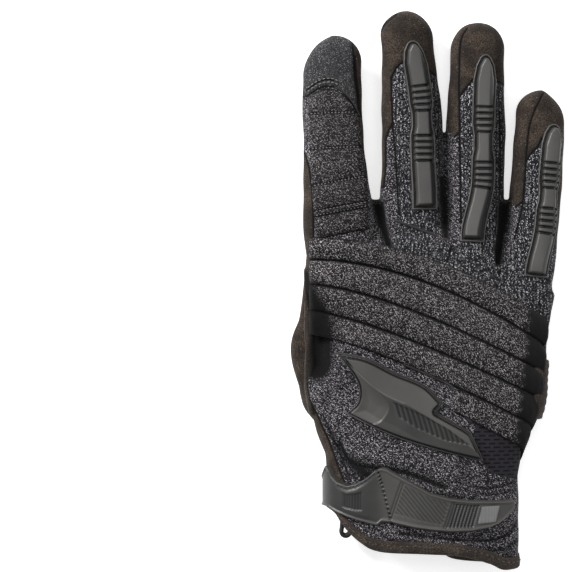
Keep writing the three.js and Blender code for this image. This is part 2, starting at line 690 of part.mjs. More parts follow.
function addPalmPieces() {
  const heelTop = -0.7 * PALM_LENGTH;
  const heel = HEEL_PAD.map(({ across, up }) => [knuckleX(across) - 1, heelTop + HEEL_PAD_LENGTH * up]);
  add("heel_pad", layer(heel, SEAM_GAP + LEATHER, SEAM_GAP, BELOW).subtract(sideTabPrism(SEAM_GAP)), "grip");
  const overlay = CENTRE_OVERLAY.map(({ across, up }) => [knuckleX(across) - 1, -PALM_LENGTH * (1 - up)]);
  add("palm_overlay", layer(overlay, SEAM_GAP + LEATHER, SEAM_GAP, BELOW), "leather");
  for (const frame of FRAMES.slice(0, 3)) {
    const halfWidth = 0.33 * frame.end;
    const corners = [[0.56, -1], [0.52, 0], [0.56, 1], [0.9, 1], [0.96, 0.45], [0.96, -0.45], [0.9, -1]];
    const outline = corners.map(([share, side]) => inPlan(frame, frame.length * share, side * halfWidth));
    add(frame.name.replace("finger", "tip_pad"), layer(outline, SEAM_GAP + LEATHER, SEAM_GAP, BELOW), "grip");
  }
}

// Folded tabs in the side seams, and the pull loop in the hem
function addTrim() {
  const whole = gloveForm(SEAM_GAP + TAB_THICKNESS).subtract(gloveForm(SEAM_GAP));
  add("side_tab", whole.intersect(sideTabPrism(0)), "leather");
  const strip = box(-FAR, -0.53 * PALM_LENGTH, -0.47 * KNUCKLE_WIDTH, -0.13 * PALM_LENGTH, -FAR, FAR);
  const gusset = whole.intersect(strip).intersect(BELOW);
  add("thumb_gusset", gusset.subtract(thumbForm(SEAM_GAP)), "leather");

  const teardrop = (radius, length) => {
    const turns = Array.from({ length: 5 }, (_, i) => (Math.PI * i) / 4);
    const bottom = turns.map((turn) => [-radius * Math.cos(turn), radius * (1 - Math.sin(turn))]);
    return [[0, length], [-0.8 * radius, 0.6 * length], ...bottom, [0.8 * radius, 0.6 * length]];
  };
  const foot = [wristX(0.1), hemY(0.25)];
  const place = (outline, up) => outline.map(([x, y]) => [foot[0] + x, foot[1] + y + up]);
  const outside = prism(place(teardrop(LOOP_RADIUS, LOOP_LENGTH), 0), LOOP_FOOT, LOOP_FOOT + LOOP_WIDTH);
  const hole = teardrop(LOOP_RADIUS - LOOP_THICKNESS, LOOP_LENGTH - 3 * LOOP_THICKNESS);
  const ring = outside.subtract(prism(place(hole, LOOP_THICKNESS)));
  add("pull_loop", ring.intersect(palmForm(-WALL - SEAM_GAP, LOOP_LENGTH)), "webbing");
}

addShell();
addFingers();
addKnucklePad();
addIndexPad();
addGuards();
addPlate();
addStrap();
addPalmPieces();
addTrim();

// The finished part stands on Z = 0 with its origin under the middle of its outline
const bounds = new THREE.Box3().setFromObject(root);
const centre = bounds.getCenter(new THREE.Vector3());
root.position.set(-centre.x, -centre.y, -bounds.min.z);

export default root;
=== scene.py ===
import bpy
import numpy as np
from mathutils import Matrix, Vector


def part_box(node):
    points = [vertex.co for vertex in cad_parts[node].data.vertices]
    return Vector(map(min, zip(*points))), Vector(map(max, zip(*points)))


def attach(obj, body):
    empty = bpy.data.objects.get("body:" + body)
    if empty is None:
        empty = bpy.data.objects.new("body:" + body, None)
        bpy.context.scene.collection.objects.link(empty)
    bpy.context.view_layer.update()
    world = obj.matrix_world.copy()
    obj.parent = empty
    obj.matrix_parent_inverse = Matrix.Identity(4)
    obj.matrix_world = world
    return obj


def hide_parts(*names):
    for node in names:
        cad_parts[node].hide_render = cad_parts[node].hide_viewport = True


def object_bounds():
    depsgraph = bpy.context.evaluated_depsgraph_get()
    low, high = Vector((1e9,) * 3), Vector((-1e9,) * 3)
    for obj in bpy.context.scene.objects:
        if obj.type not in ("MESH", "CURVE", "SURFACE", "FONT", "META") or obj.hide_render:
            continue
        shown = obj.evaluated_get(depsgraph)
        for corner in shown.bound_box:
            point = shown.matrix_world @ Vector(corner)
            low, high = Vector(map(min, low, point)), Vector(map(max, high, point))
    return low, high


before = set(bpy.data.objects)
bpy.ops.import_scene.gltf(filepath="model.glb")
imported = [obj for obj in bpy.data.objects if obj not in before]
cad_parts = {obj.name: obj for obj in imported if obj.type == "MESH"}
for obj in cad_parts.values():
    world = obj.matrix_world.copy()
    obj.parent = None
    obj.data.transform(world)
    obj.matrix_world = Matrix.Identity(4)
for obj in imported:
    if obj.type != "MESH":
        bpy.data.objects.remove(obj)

CAD_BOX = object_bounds()

# Driving sizes of the sewn shell
WALL = 2.0
SEAM_GAP = 0.3
PALM_LENGTH = 145.0
WRIST_WIDTH = 86.0
WRIST_SHIFT = 3.3
WRIST_DEPTH = 30.0
PALM_DEPTH = 27.0
KNUCKLE_DEPTH = 21.0
PALM_MIDLINE = 13.0
TIP_MIDLINE = 8.0
CUFF_LENGTH = 50.0
FINGER_LAP = 30.0
KNUCKLE_WIDTH = 113.6
FINGER_LENGTH = 101.2
FINGER_DEPTH = 20.0
THUMB_WIDTH = 25.0
THUMB_DEPTH = 13.0
THUMB_RISE = 8.5
LIFTED_DEPTH = 16.8
THUMB_LENGTH = 72.0
THUMB_LAP = 34.0
LEATHER = 1.6
RIB_HEIGHT = 2.9
RIB_PITCH = 10.8
RIB_SWEEP = 38.0
GUARD_WIDTH = 11.4
GUARD_HEIGHT = 4.7
GUARD_GROOVE_PITCH = 2.8
PLATE_LENGTH = 66.0
PLATE_WIDTH = 49.0
PLATE_CLEARANCE = 7.6
PLATE_HEIGHT = 3.6
STRAP_WIDTH = 17.5
STRAP_THICKNESS = 2.4
THUMB_BOTTOM = -(SEAM_GAP + LEATHER)
PLATE_LEFT = -0.375 * KNUCKLE_WIDTH
RIB_TOP = 0.016 * PALM_LENGTH
PLATE_BOTTOM = RIB_TOP - 4 * RIB_PITCH - PLATE_CLEARANCE - PLATE_WIDTH
PALM_ROUND = 2 / 0.8  # exponents of the sections' superellipses
FINGER_ROUND = 2 / 0.82
VOXEL = 0.6  # spacing of the skin's vertices
FAR = 9.0  # where distances stop
FOOT_RISE = 0.05  # of a layer's wall over the skin
EDGE_START = 0.3  # the edge distance that the paint of a sewn layer starts with

ORIGIN = np.array(
    [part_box("hand_plate")[0].x * 1000 - PLATE_LEFT, CAD_BOX[0][1] * 1000 + PALM_LENGTH, -THUMB_BOTTOM]
)

# Lane and depth as shares of the knuckles' width and of FINGER_DEPTH; middle, end and bow of the lane;
# length and base of FINGER_LENGTH; stub of the finger's own length
FINGERS = [
    dict(name="index", lane=0.2905, middle=0.824, end=0.8, bow=-0.036, depth=0.95, length=0.925, base=0,
         stub=0.086, splay=2.2),
    dict(name="middle", lane=0.2773, middle=0.87, end=0.756, bow=0.06, depth=1, length=1, base=0.032,
         stub=0.079, splay=1.8),
    dict(name="ring", lane=0.2262, middle=1.043, end=0.934, bow=-0.023, depth=0.95, length=0.992,
         base=-0.009, stub=0.12, splay=-1),
    dict(name="little", lane=0.206, middle=0.991, end=0.94, bow=0.013, depth=0.85, length=0.768, base=-0.085,
         stub=0.09, splay=-4.3),
]

# Sections of the hand, as in the solids: share of the palm's length, share of the way from the wrist's width
# to the knuckles', share of the wrist's shift, and depth (0 the wrist's, 1 the palm's, more by the knuckles)
PALM_SECTIONS = np.array([
    (0, 0, 1, 0), (0.28, 0, 1, 0), (0.35, 0.08, 0.9, 0.05), (0.42, 0.37, 0.8, 0.2), (0.49, 0.6, 0.7, 0.45),
    (0.56, 0.73, 0.6, 0.75), (0.64, 0.77, 0.5, 1), (0.72, 0.8, 0.45, 1.1), (0.8, 0.83, 0.4, 1.3),
    (0.88, 0.89, 0.3, 1.6), (0.96, 0.96, 0.1, 1.95), (1.02, 0.97, 0, 2.4),
])


def lerp(a, b, share):
    """The value a share of the way from a to b."""
    return a + (b - a) * share


def smooth(value, low, high):
    """A smooth step from 0 to 1 between two values."""
    share = np.clip((value - low) / (high - low), 0, 1)
    return share * share * (3 - 2 * share)


def hill(value, half_width):
    """1 at zero, falling to 0 on both sides."""
    return np.exp(-((value / half_width) ** 2))


def unit(vectors):
    """Vectors, one a row, brought to length 1."""
    return vectors / np.maximum(np.linalg.norm(vectors, axis=1), 1e-9)[:, None]


def lengths_along(points):
    """The length of a line from its start to each of its points."""
    return np.concatenate([[0], np.cumsum(np.linalg.norm(np.diff(points, axis=0), axis=1))])


def table_at(table, at):
    """The other columns of a table, interpolated by its first."""
    return [np.interp(at, table[:, 0], table[:, column]) for column in range(1, table.shape[1])]


def stripes(value, pitch, low, high):
    """Soft-edged stripes between 0 and 1, one each pitch."""
    return smooth(np.sin(value * 2 * np.pi / pitch), low, high)


def row(points):
    """Points in metres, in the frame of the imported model."""
    return (np.asarray(points, float) + ORIGIN) / 1000


def rgb(*levels):
    """A colour from its levels of 0 to 255 on the screen."""
    linear = [(v / 255 / 12.92 if v <= 10 else ((v / 255 + 0.055) / 1.055) ** 2.4) for v in levels]
    return (*linear, 1)


# The lie of the glove

def lift(x, y):
    """How far the thumb lifts the hand at a point of the plan, from 0 to 1."""
    return (
        (1 - smooth(x, -0.3 * KNUCKLE_WIDTH, 0.03 * KNUCKLE_WIDTH))
        * smooth(y, -0.62 * PALM_LENGTH, -0.33 * PALM_LENGTH)
        * (1 - 0.55 * smooth(y, 0.1 * PALM_LENGTH, 0.5 * PALM_LENGTH))
    )


def midline(x, y):
    """The height of the side seams."""
    level = lerp(PALM_MIDLINE, TIP_MIDLINE, smooth(y, -0.25 * PALM_LENGTH, 0.55 * PALM_LENGTH))
    return level + THUMB_RISE * lift(x, y)


def pressed(depth, x, y):
    """A section's depth, flattened where the hand lies on the thumb."""
    return lerp(depth, np.minimum(depth, LIFTED_DEPTH), lift(x, y))


def add_frames():
    """Turns the fingers' shares into millimetres, and gives each its root and directions."""
    left = -KNUCKLE_WIDTH / 2
    for finger in FINGERS:
        finger["lane"] *= KNUCKLE_WIDTH
        finger["length"] *= FINGER_LENGTH
        finger["base"] *= FINGER_LENGTH
        finger["depth"] *= FINGER_DEPTH
        for key in ("middle", "end", "bow"):
            finger[key] *= finger["lane"]
        finger["stub"] *= finger["length"]
        angle = np.radians(90 + finger["splay"])
        finger["along"] = np.array([np.cos(angle), np.sin(angle)])
        finger["across"] = np.array([np.sin(angle), -np.cos(angle)])
        finger["root"] = np.array([left + finger["lane"] / 2, finger["base"]])
        left += finger["lane"]


add_frames()


def finger_plan(finger, x, y):
    """Distance along the finger from its root, and to the little-finger side of its axis."""
    dx, dy = x - finger["root"][0], y - finger["root"][1]
    along = dx * finger["along"][0] + dy * finger["along"][1]
    side = dx * finger["across"][0] + dy * finger["across"][1]
    return along, side - finger["bow"] * np.sin(np.pi * np.clip(along / finger["length"], 0, 1))


def in_plan(finger, along, side):
    """The point of the plan that lies so far along a finger and to its side."""
    side = side + finger["bow"] * np.sin(np.pi * np.clip(along / finger["length"], 0, 1))
    x = finger["root"][0] + finger["along"][0] * along + finger["across"][0] * side
    y = finger["root"][1] + finger["along"][1] * along + finger["across"][1] * side
    return x, y


# Which side of a tip is cut back: -1 towards the thumb, 1 towards the little finger
TIP_SLANTS = dict(index=-1, middle=0, ring=0, little=1)


def finger_form(finger, x, y):
    """Plan measure (1 on the outline), half height and middle height of a finger's form."""
    along, side = finger_plan(finger, x, y)
    length, end = finger["length"], finger["end"]
    share = along / length
    wide = np.where(
        share < 0.5,
        lerp(0.965 * finger["lane"], finger["middle"], smooth(share, 0.05, 0.5)),
        lerp(finger["middle"], end, smooth(share, 0.5, 0.85)),
    )
    emerging = lerp(0.7, 1, smooth(along, -FINGER_LAP, 0))
    cut_back = 0.38 * np.clip(side * TIP_SLANTS[finger["name"]], 0, None)
    over = np.clip((along + cut_back - (length - end / 2)) / (end / 2), 0, None)
    behind = np.clip((6 - FINGER_LAP - along) / 6, 0, None)
    plan = np.sqrt((side / (wide / 2 * emerging)) ** 2 + over**2 + behind**2)
    depth = finger["depth"] * emerging * lerp(1, 0.82, np.clip(share, 0, 1))
    return plan, pressed(depth, x, y) / 2, midline(x, y)


def knuckle_arc(x):
    """How far the knuckles' line lies back at x."""
    crest = FINGERS[0]["lane"] + FINGERS[1]["lane"] - KNUCKLE_WIDTH / 2
    thumb_side = -0.04 * np.clip((crest - x) / FINGERS[0]["lane"], 0, 1.4) ** 2
    little_side = -0.1 * np.clip((x - crest) / FINGERS[2]["lane"], 0, 1.4) ** 1.3
    return PALM_LENGTH * (thumb_side + little_side)


def section_sizes(along):
    """Half the width, the middle and the depth of the hand's section."""
    broad, shift, deep = table_at(PALM_SECTIONS, along)
    half_width = lerp(WRIST_WIDTH, KNUCKLE_WIDTH, broad) / 2
    shallow = lerp(WRIST_DEPTH, PALM_DEPTH, np.minimum(deep, 1))
    depth = shallow + (KNUCKLE_DEPTH - PALM_DEPTH) * np.clip(deep - 1, 0, None)
    return half_width, -WRIST_SHIFT * shift, depth


def palm_form(x, y):
    """Plan measure, half height and middle height of the hand and cuff, as for a finger."""
    arc = knuckle_arc(x)
    along = (y + PALM_LENGTH) / PALM_LENGTH
    for _ in range(8):
        inside = np.clip(along, 0, 1)
        error = -PALM_LENGTH * (1 - along) + arc * inside**4 - y
        along = along - error / (PALM_LENGTH + np.where(along < 1, 4 * arc * inside**3, 0))
    half_width, middle, depth = section_sizes(along)
    over = np.clip((along - 0.99) / 0.055, 0, None)
    plan = np.sqrt(((x - middle) / half_width) ** 2 + over**2)
    return plan, pressed(depth, x, y) / 2, midline(x, y)


def catmull(points, count):
    """Points of a smooth curve through the given ones."""
    points = np.asarray(points, float)
    ends = np.vstack([2 * points[0] - points[1], points, 2 * points[-1] - points[-2]])
    spans = len(points) - 1
    at = np.linspace(0, spans, count)
    index = np.minimum(at.astype(int), spans - 1)
    t = (at - index)[:, None]
    a, b, c, d = (ends[index + i] for i in range(4))
    return 0.5 * (2 * b + (c - a) * t + (2 * a - 5 * b + 4 * c - d) * t**2 + (3 * b - a - 3 * c + d) * t**3)


def closed_curve(points, count):
    """Points of a smooth closed curve through the given ones."""
    return catmull(np.vstack([points, points[:1]]), count)[:-1]


THUMB_LEVEL = THUMB_BOTTOM + THUMB_DEPTH / 2
THUMB_BEND = -0.33 * PALM_LENGTH
THUMB_AXIS = catmull(
    [
        (-0.25 * WRIST_WIDTH, -0.6 * PALM_LENGTH, THUMB_LEVEL + THUMB_DEPTH / 4),
        (-0.375 * KNUCKLE_WIDTH, -0.495 * PALM_LENGTH, THUMB_LEVEL + THUMB_DEPTH / 8),
        (-0.412 * KNUCKLE_WIDTH, -0.42 * PALM_LENGTH, THUMB_LEVEL),
        (-0.44 * KNUCKLE_WIDTH, THUMB_BEND, THUMB_LEVEL),
        (-0.408 * KNUCKLE_WIDTH, THUMB_BEND + 0.16 * THUMB_LENGTH, THUMB_LEVEL),
        (-0.385 * KNUCKLE_WIDTH, THUMB_BEND + 0.45 * THUMB_LENGTH, THUMB_LEVEL),
        (-0.355 * KNUCKLE_WIDTH, THUMB_BEND + THUMB_LENGTH, THUMB_LEVEL),
    ],
    240,
)
THUMB_AT = lengths_along(THUMB_AXIS)
THUMB_SPAN = THUMB_AT[-1]


def thumb_plan(x, y):
    """Distance along the thumb's axis, to its side, and the axis's height there."""
    shape = np.shape(x)
    plan = np.column_stack([np.ravel(x), np.ravel(y)])
    nearest = np.empty(len(plan), int)
    batch, every = 20000, 3
    for start in range(0, len(plan), batch):
        part = plan[start : start + batch]
        gaps = ((part[:, None] - THUMB_AXIS[None, ::every, :2]) ** 2).sum(2)
        nearest[start : start + batch] = gaps.argmin(1) * every
    offset = plan - THUMB_AXIS[nearest, :2]
    direction = unit(np.gradient(THUMB_AXIS[:, :2], axis=0))[nearest]
    along = THUMB_AT[nearest] + (offset * direction).sum(1)
    side = offset[:, 0] * direction[:, 1] - offset[:, 1] * direction[:, 0]
    height = np.interp(along, THUMB_AT, THUMB_AXIS[:, 2])
    return along.reshape(shape), side.reshape(shape), height.reshape(shape)


# Signed distance fields on a grid, and the skins taken from them

def distance_field(plan, half_height, middle, exponent, z):
    """Roughly the signed distance to a form, from its maps in plan, on the grid with heights z."""
    ratio = np.abs(z[None, None, :] - middle[:, :, None]) / half_height[:, :, None]
    form = (np.minimum(plan, 6)[:, :, None] ** exponent + ratio**exponent) ** (1 / exponent)
    slopes = np.gradient(form.astype(np.float32), VOXEL)
    steep = np.sqrt(sum(slope**2 for slope in slopes))
    return np.clip((form - 1) / np.maximum(steep, 0.02), -FAR, FAR).astype(np.float32)


def blend_min(a, b, reach):
    """The lower of two fields, rounded where they meet."""
    close = np.maximum(reach - np.abs(a - b), 0) / reach
    return np.minimum(a, b) - close**2 * reach / 4


def blend_max(a, b, reach):
    return -blend_min(-a, -b, reach)


GRID_LOW = np.array([-66.0, -152.0, -3.6])
GRID_HIGH = np.array([66.0, 108.0, 36.0])
GRID = [np.arange(low, high, VOXEL) for low, high in zip(GRID_LOW, GRID_HIGH)]

# The folded cloth between the fingers: its outer end, its end on the palm, half its width and its share of a
# finger's depth
WEBS = [
    ((-24.3, 16.0), (-20.5, -4.0), 3.4, 0.62),
    ((7.4, 47.0), (8.2, -2.0), 2.6, 0.6),
    ((34.3, 16.5), (31.5, -10.0), 2.9, 0.6),
]


def web_form(web, x, y):
    """Plan measure, half height and middle height of the cloth between two fingers, as for a finger."""
    start, stop, half, tall = web
    run = np.array(stop) - start
    share = np.clip(((x - start[0]) * run[0] + (y - start[1]) * run[1]) / (run @ run), 0, 1)
    plan = np.hypot(x - start[0] - share * run[0], y - start[1] - share * run[1]) / half
    rise = lerp(0.55, 1, smooth(share, 0, 0.8))
    return plan, FINGER_DEPTH / 2 * tall * rise, midline(x, y) - 1.0


def grid_part(near):
    """The rectangle of the grid's plan that holds what is near."""
    columns, rows = np.where(near.any(1))[0], np.where(near.any(0))[0]
    return np.s_[columns[0] : columns[-1] + 1, rows[0] : rows[-1] + 1]


def hand_fields():
    """The fields of the hand and of the thumb's free part, and the corner where the latter starts."""
    x, y = np.meshgrid(GRID[0], GRID[1], indexing="ij")
    z = GRID[2]
    fingers = np.full((len(GRID[0]), len(GRID[1]), len(z)), FAR, np.float32)
    for finger in FINGERS:
        along, side = finger_plan(finger, x, y)
        near = (along > -FINGER_LAP - 4) & (along < finger["length"] + 6)
        part = grid_part(near & (np.abs(side) < finger["lane"] / 2 + FAR))
        field = distance_field(*finger_form(finger, x[part], y[part]), FINGER_ROUND, z)
        fingers[part] = blend_min(fingers[part], field, 0.7)
    for web in WEBS:
        part = grid_part(web_form(web, x, y)[0] < 5)
        field = distance_field(*web_form(web, x[part], y[part]), 2.0, z)
        fingers[part] = blend_min(fingers[part], field, 1.6)
    palm = distance_field(*palm_form(x, y), PALM_ROUND, z)
    glove = blend_min(palm, fingers, 4.0)
    glove = blend_max(glove, np.broadcast_to(-z, glove.shape).astype(np.float32), 1.2)

    along, side, height = thumb_plan(x, y)
    part = grid_part((np.abs(side) < THUMB_WIDTH) & (along > 0) & (along < THUMB_SPAN + 6))
    along, side, height = along[part], side[part], height[part]
    over = np.clip((along - (THUMB_SPAN - THUMB_WIDTH / 2)) / (THUMB_WIDTH / 2), 0, None)
    plan = np.sqrt((side / (THUMB_WIDTH / 2)) ** 2 + over**2)
    thumb = distance_field(plan, np.full_like(plan, THUMB_DEPTH / 2), height, FINGER_ROUND, z)
    thumb = blend_max(thumb, np.broadcast_to(THUMB_BOTTOM - z, thumb.shape).astype(np.float32), 1.0)
    root = np.maximum(thumb, (along - THUMB_LAP)[:, :, None]).astype(np.float32)
    stall = np.maximum(thumb, (THUMB_LAP - 1 - along)[:, :, None])
    stall = np.maximum(stall, SEAM_GAP / 2 - glove[part]).astype(np.float32)
    glove[part] = blend_min(glove[part], root, 2.4)
    corner = np.array([GRID[0][part[0].start], GRID[1][part[1].start], z[0]])
    return glove, stall, corner


def numbered(quads):
    """The vertices that quads use, and the quads by the vertices' order among these."""
    used, index = np.unique(quads, return_inverse=True)
    return used, index.reshape(quads.shape)


def surface_nets(field, low, step):
    """The quads of a field's zero surface, normals towards its positive side."""
    size = np.array(field.shape) - 1
    keys, points, turned = [], [], []
    for axis in range(3):
        first = [slice(None)] * 3
        second = [slice(None)] * 3
        first[axis], second[axis] = slice(0, -1), slice(1, None)
        before, after = field[tuple(first)], field[tuple(second)]
        edges = np.argwhere((before < 0) != (after < 0))
        b, c = (axis + 1) % 3, (axis + 2) % 3
        inner = (edges[:, b] > 0) & (edges[:, c] > 0) & (edges[:, b] < size[b]) & (edges[:, c] < size[c])
        edges = edges[inner]
        start, stop = before[tuple(edges.T)], after[tuple(edges.T)]
        crossing = edges.astype(float)
        crossing[:, axis] += start / (start - stop)
        around = []
        for step_b, step_c in ((-1, -1), (0, -1), (0, 0), (-1, 0)):
            cell = edges.copy()
            cell[:, b] += step_b
            cell[:, c] += step_c
            around.append((cell[:, 0] * size[1] + cell[:, 1]) * size[2] + cell[:, 2])
        keys.append(np.column_stack(around))
        points.append(crossing)
        turned.append(start >= 0)
    points, turned = np.vstack(points), np.concatenate(turned)
    _, index = numbered(np.vstack(keys))
    flat, spread = index.ravel(), np.repeat(points, 4, axis=0)
    counts = np.bincount(flat)
    vertices = np.column_stack([np.bincount(flat, spread[:, i]) / counts for i in range(3)])
    quads = np.where(turned[:, None], index[:, ::-1], index)
    return vertices * step + low, quads


def relax(vertices, quads, rounds):
    """Moves each vertex towards its neighbours, to even out the grid's steps."""
    total = len(vertices)
    edges = np.vstack([quads[:, [i, (i + 1) % 4]] for i in range(4)])
    count = sum(np.bincount(ends, minlength=total) for ends in edges.T)
    for _ in range(rounds):
        near = sum(
            np.column_stack([np.bincount(here, vertices[there, i], total) for i in range(3)])
            for here, there in (edges.T, edges.T[::-1])
        )
        vertices = lerp(vertices, near / count[:, None], 0.5)
    return vertices


def normals_of(vertices, quads):
    """Outward directions at the vertices."""
    corners = vertices[quads]
    face = np.cross(corners[:, 2] - corners[:, 0], corners[:, 3] - corners[:, 1])
    normals = np.column_stack(
        [sum(np.bincount(quads[:, k], face[:, i], len(vertices)) for k in range(4)) for i in range(3)]
    )
    return unit(normals)


# Maps of the skin's upper and lower side, for what lies on them

def blurred(values, spread):
    """A map of the grid's plane, blurred by a spread in cells."""
    reach = int(3 * spread) + 1
    weights = np.exp(-0.5 * (np.arange(-reach, reach + 1) / spread) ** 2)
    weights /= weights.sum()
    for axis in (0, 1):
        values = np.apply_along_axis(lambda line: np.convolve(line, weights, mode="same"), axis, values)
    return values


class Side:
    """Where one side of the skin lies along an axis, over the plane of the other two."""

    def __init__(self, field, axis, upper, spread):
        self.order = [other for other in range(3) if other != axis] + [axis]
        self.low = GRID_LOW[self.order]
        field = np.transpose(field, self.order)
        facing = field[:, :, ::-1] if upper else field
        inside = facing < 0
        first = inside.argmax(2)
        found = inside.any(2) & (first > 0)
        i, j = np.indices(first.shape)
        last = np.maximum(first - 1, 0)
        a, b = facing[i, j, last], facing[i, j, first]
        share = np.where(found, a / np.where(a == b, 1, a - b), 0)
        depth = (last + share) * VOXEL
        height = self.low[2] + (depth if not upper else (field.shape[2] - 1) * VOXEL - depth)
        mask = found.astype(float)
        weight = np.maximum(blurred(mask, spread), 1e-6)
        fill = blurred(np.where(found, height, 0), spread) / weight
        wide = blurred(np.where(found, height, 0), 3 * spread) / np.maximum(blurred(mask, 3 * spread), 1e-6)
        self.height = np.where(weight > 0.05, fill, np.where(weight > 1e-5, wide, 0))
        self.slope = np.gradient(self.height, VOXEL)
        self.sign = 1 if upper else -1
        self.found = found

    def sample(self, values, u, v):
        """A map's values at points of the plane."""
        u = np.clip((np.asarray(u) - self.low[0]) / VOXEL, 0, values.shape[0] - 1.001)
        v = np.clip((np.asarray(v) - self.low[1]) / VOXEL, 0, values.shape[1] - 1.001)
        i, j = u.astype(int), v.astype(int)
        s, t = u - i, v - j
        low = lerp(values[i, j], values[i + 1, j], s)
        return lerp(low, lerp(values[i, j + 1], values[i + 1, j + 1], s), t)

    def place(self, u, v, grow):
        """Points at a height over the skin, outwards of the given points of the plane."""
        level = self.sample(self.height, u, v)
        slope_u = np.clip(self.sample(self.slope[0], u, v), -1.5, 1.5)
        slope_v = np.clip(self.sample(self.slope[1], u, v), -1.5, 1.5)
        size = np.sqrt(1 + slope_u**2 + slope_v**2)
        step = self.sign * grow / size
        found = (u - slope_u * step, v - slope_v * step, level + step)
        return np.stack([found[self.order.index(axis)] for axis in range(3)], -1)


# Meshes

def mesh_object(name, vertices, faces, material, slot, replaces=(), attributes=None, normals=None):
    """A piece with its finish and attributes, which rides on the body and stands for the named nodes."""
    mesh = bpy.data.meshes.new(name)
    mesh.vertices.add(len(vertices))
    mesh.vertices.foreach_set("co", row(vertices).astype(np.float32).ravel())
    faces = np.asarray(faces)
    mesh.loops.add(faces.size)
    mesh.loops.foreach_set("vertex_index", faces.astype(np.int32).ravel())
    mesh.polygons.add(len(faces))
    mesh.polygons.foreach_set("loop_start", np.arange(0, faces.size, faces.shape[1], dtype=np.int32))
    mesh.update(calc_edges=True)
    mesh.polygons.foreach_set("use_smooth", np.full(len(faces), True))
    for key, values in (attributes or {}).items():
        kind = "FLOAT" if np.ndim(values) == 1 else "FLOAT_VECTOR"
        data = mesh.attributes.new(key, kind, "POINT").data
        data.foreach_set("value" if kind == "FLOAT" else "vector", np.asarray(values, np.float32).ravel())
    mesh.validate()
    if normals is not None:
        mesh.normals_split_custom_set_from_vertices([tuple(n) for n in normals])
    mesh.materials.append(material)
    piece = bpy.data.objects.new(name, mesh)
    bpy.context.scene.collection.objects.link(piece)
    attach(piece, "root")
    if replaces:
        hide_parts(*replaces)
    return piece


def grid_faces(rows, columns, wrap=False):
    """Quads of a grid of vertices numbered row by row."""
    last = columns if wrap else columns - 1
    i, j = np.meshgrid(np.arange(rows - 1), np.arange(last), indexing="ij")
    a, b = i * columns + j, i * columns + (j + 1) % columns
    return np.column_stack([part.ravel() for part in (a, b, b + columns, a + columns)])


def ring_faces(rings, count, wrap=False):
    """Quads of a closed row of rings, each of so many vertices."""
    i, j = np.meshgrid(np.arange(rings), np.arange(count if wrap else count - 1), indexing="ij")
    here, there, after = i * count, (i + 1) % rings * count, (j + 1) % count
    return np.column_stack([part.ravel() for part in (here + j, here + after, there + after, there + j)])


def joined(parts):
    """One list of vertices and of faces from several."""
    vertices, faces, start = [], [], 0
    for points, quads in parts:
        vertices.append(points)
        faces.append(np.asarray(quads) + start)
        start += len(points)
    return np.vstack(vertices), np.vstack(faces)


def outline_distance(outline, x, y):
    """Signed distance to a closed outline, positive inside it, and the outline's nearest point."""
    points = np.column_stack([x.ravel(), y.ravel()])
    start = np.asarray(outline, float)
    stop = np.roll(start, -1, axis=0)
    best = np.full(len(points), 1e9)
    nearest = points.copy()
    inside = np.zeros(len(points), bool)
    for a, b in zip(start, stop):
        run = b - a
        share = np.clip(((points - a) @ run) / max(run @ run, 1e-12), 0, 1)
        foot = a + share[:, None] * run
        gap = np.linalg.norm(points - foot, axis=1)
        closer = gap < best
        best[closer] = gap[closer]
        nearest[closer] = foot[closer]
        crosses = (a[1] > points[:, 1]) != (b[1] > points[:, 1])
        rise = run[1] if abs(run[1]) > 1e-12 else 1e-12
        inside ^= crosses & (points[:, 0] < a[0] + (points[:, 1] - a[1]) / rise * run[0])
    return np.where(inside, best, -best).reshape(x.shape), nearest


def patch(outline, cell, height, side):
    """A layer on the skin inside an outline: its upper face follows height(edge distance, x, y), and a wall
    runs down to the skin. Returns vertices, quads and each vertex's distance from the edge."""
    outline = np.asarray(outline, float)
    corners = zip(outline.min(0) - cell, outline.max(0) + 2 * cell)
    x, y = np.meshgrid(*(np.arange(start, stop, cell) for start, stop in corners), indexing="ij")
    edge, nearest = outline_distance(outline, x, y)
    x, y = x.ravel().copy(), y.ravel().copy()
    rows, columns = edge.shape
    edge = edge.ravel()
    quads = grid_faces(rows, columns)[:, ::-1]
    quads = quads[(edge[quads] > -0.6 * cell).all(1) & (edge[quads] > 0.1 * cell).any(1)]
    used = np.unique(quads)
    snap = used[edge[used] < 0.45 * cell]
    x[snap], y[snap] = nearest[snap].T
    edge[snap] = 0
    top = side.place(x[used], y[used], height(edge[used], x[used], y[used]))
    number = np.full(len(x), -1)
    number[used] = np.arange(len(used))
    quads = number[quads]
    pairs = np.vstack([quads[:, [i, (i + 1) % 4]] for i in range(4)])
    keys = pairs[:, 0].astype(np.int64) * len(used) + pairs[:, 1]
    back = pairs[:, 1].astype(np.int64) * len(used) + pairs[:, 0]
    rim = pairs[~np.isin(keys, back)]
    on_rim = np.unique(rim)
    foot = side.place(x[used][on_rim], y[used][on_rim], FOOT_RISE)
    foot_of = np.full(len(used), -1)
    foot_of[on_rim] = np.arange(len(on_rim)) + len(used)
    wall = np.column_stack([rim[:, 1], rim[:, 0], foot_of[rim[:, 0]], foot_of[rim[:, 1]]])
    vertices = np.vstack([top, foot])
    edges = np.concatenate([edge[used], np.zeros(len(on_rim))])
    faces = np.vstack([quads, wall])
    if side.sign < 0:
        faces = faces[:, ::-1]
    return vertices, faces, edges


def resampled(points, step):
    """The same line with points at about an even step."""
    points = np.asarray(points, float)
    lengths = lengths_along(points)
    count = max(2, int(round(lengths[-1] / step)) + 1)
    at = np.linspace(0, lengths[-1], count)
    return np.column_stack([np.interp(at, lengths, points[:, i]) for i in range(points.shape[1])])


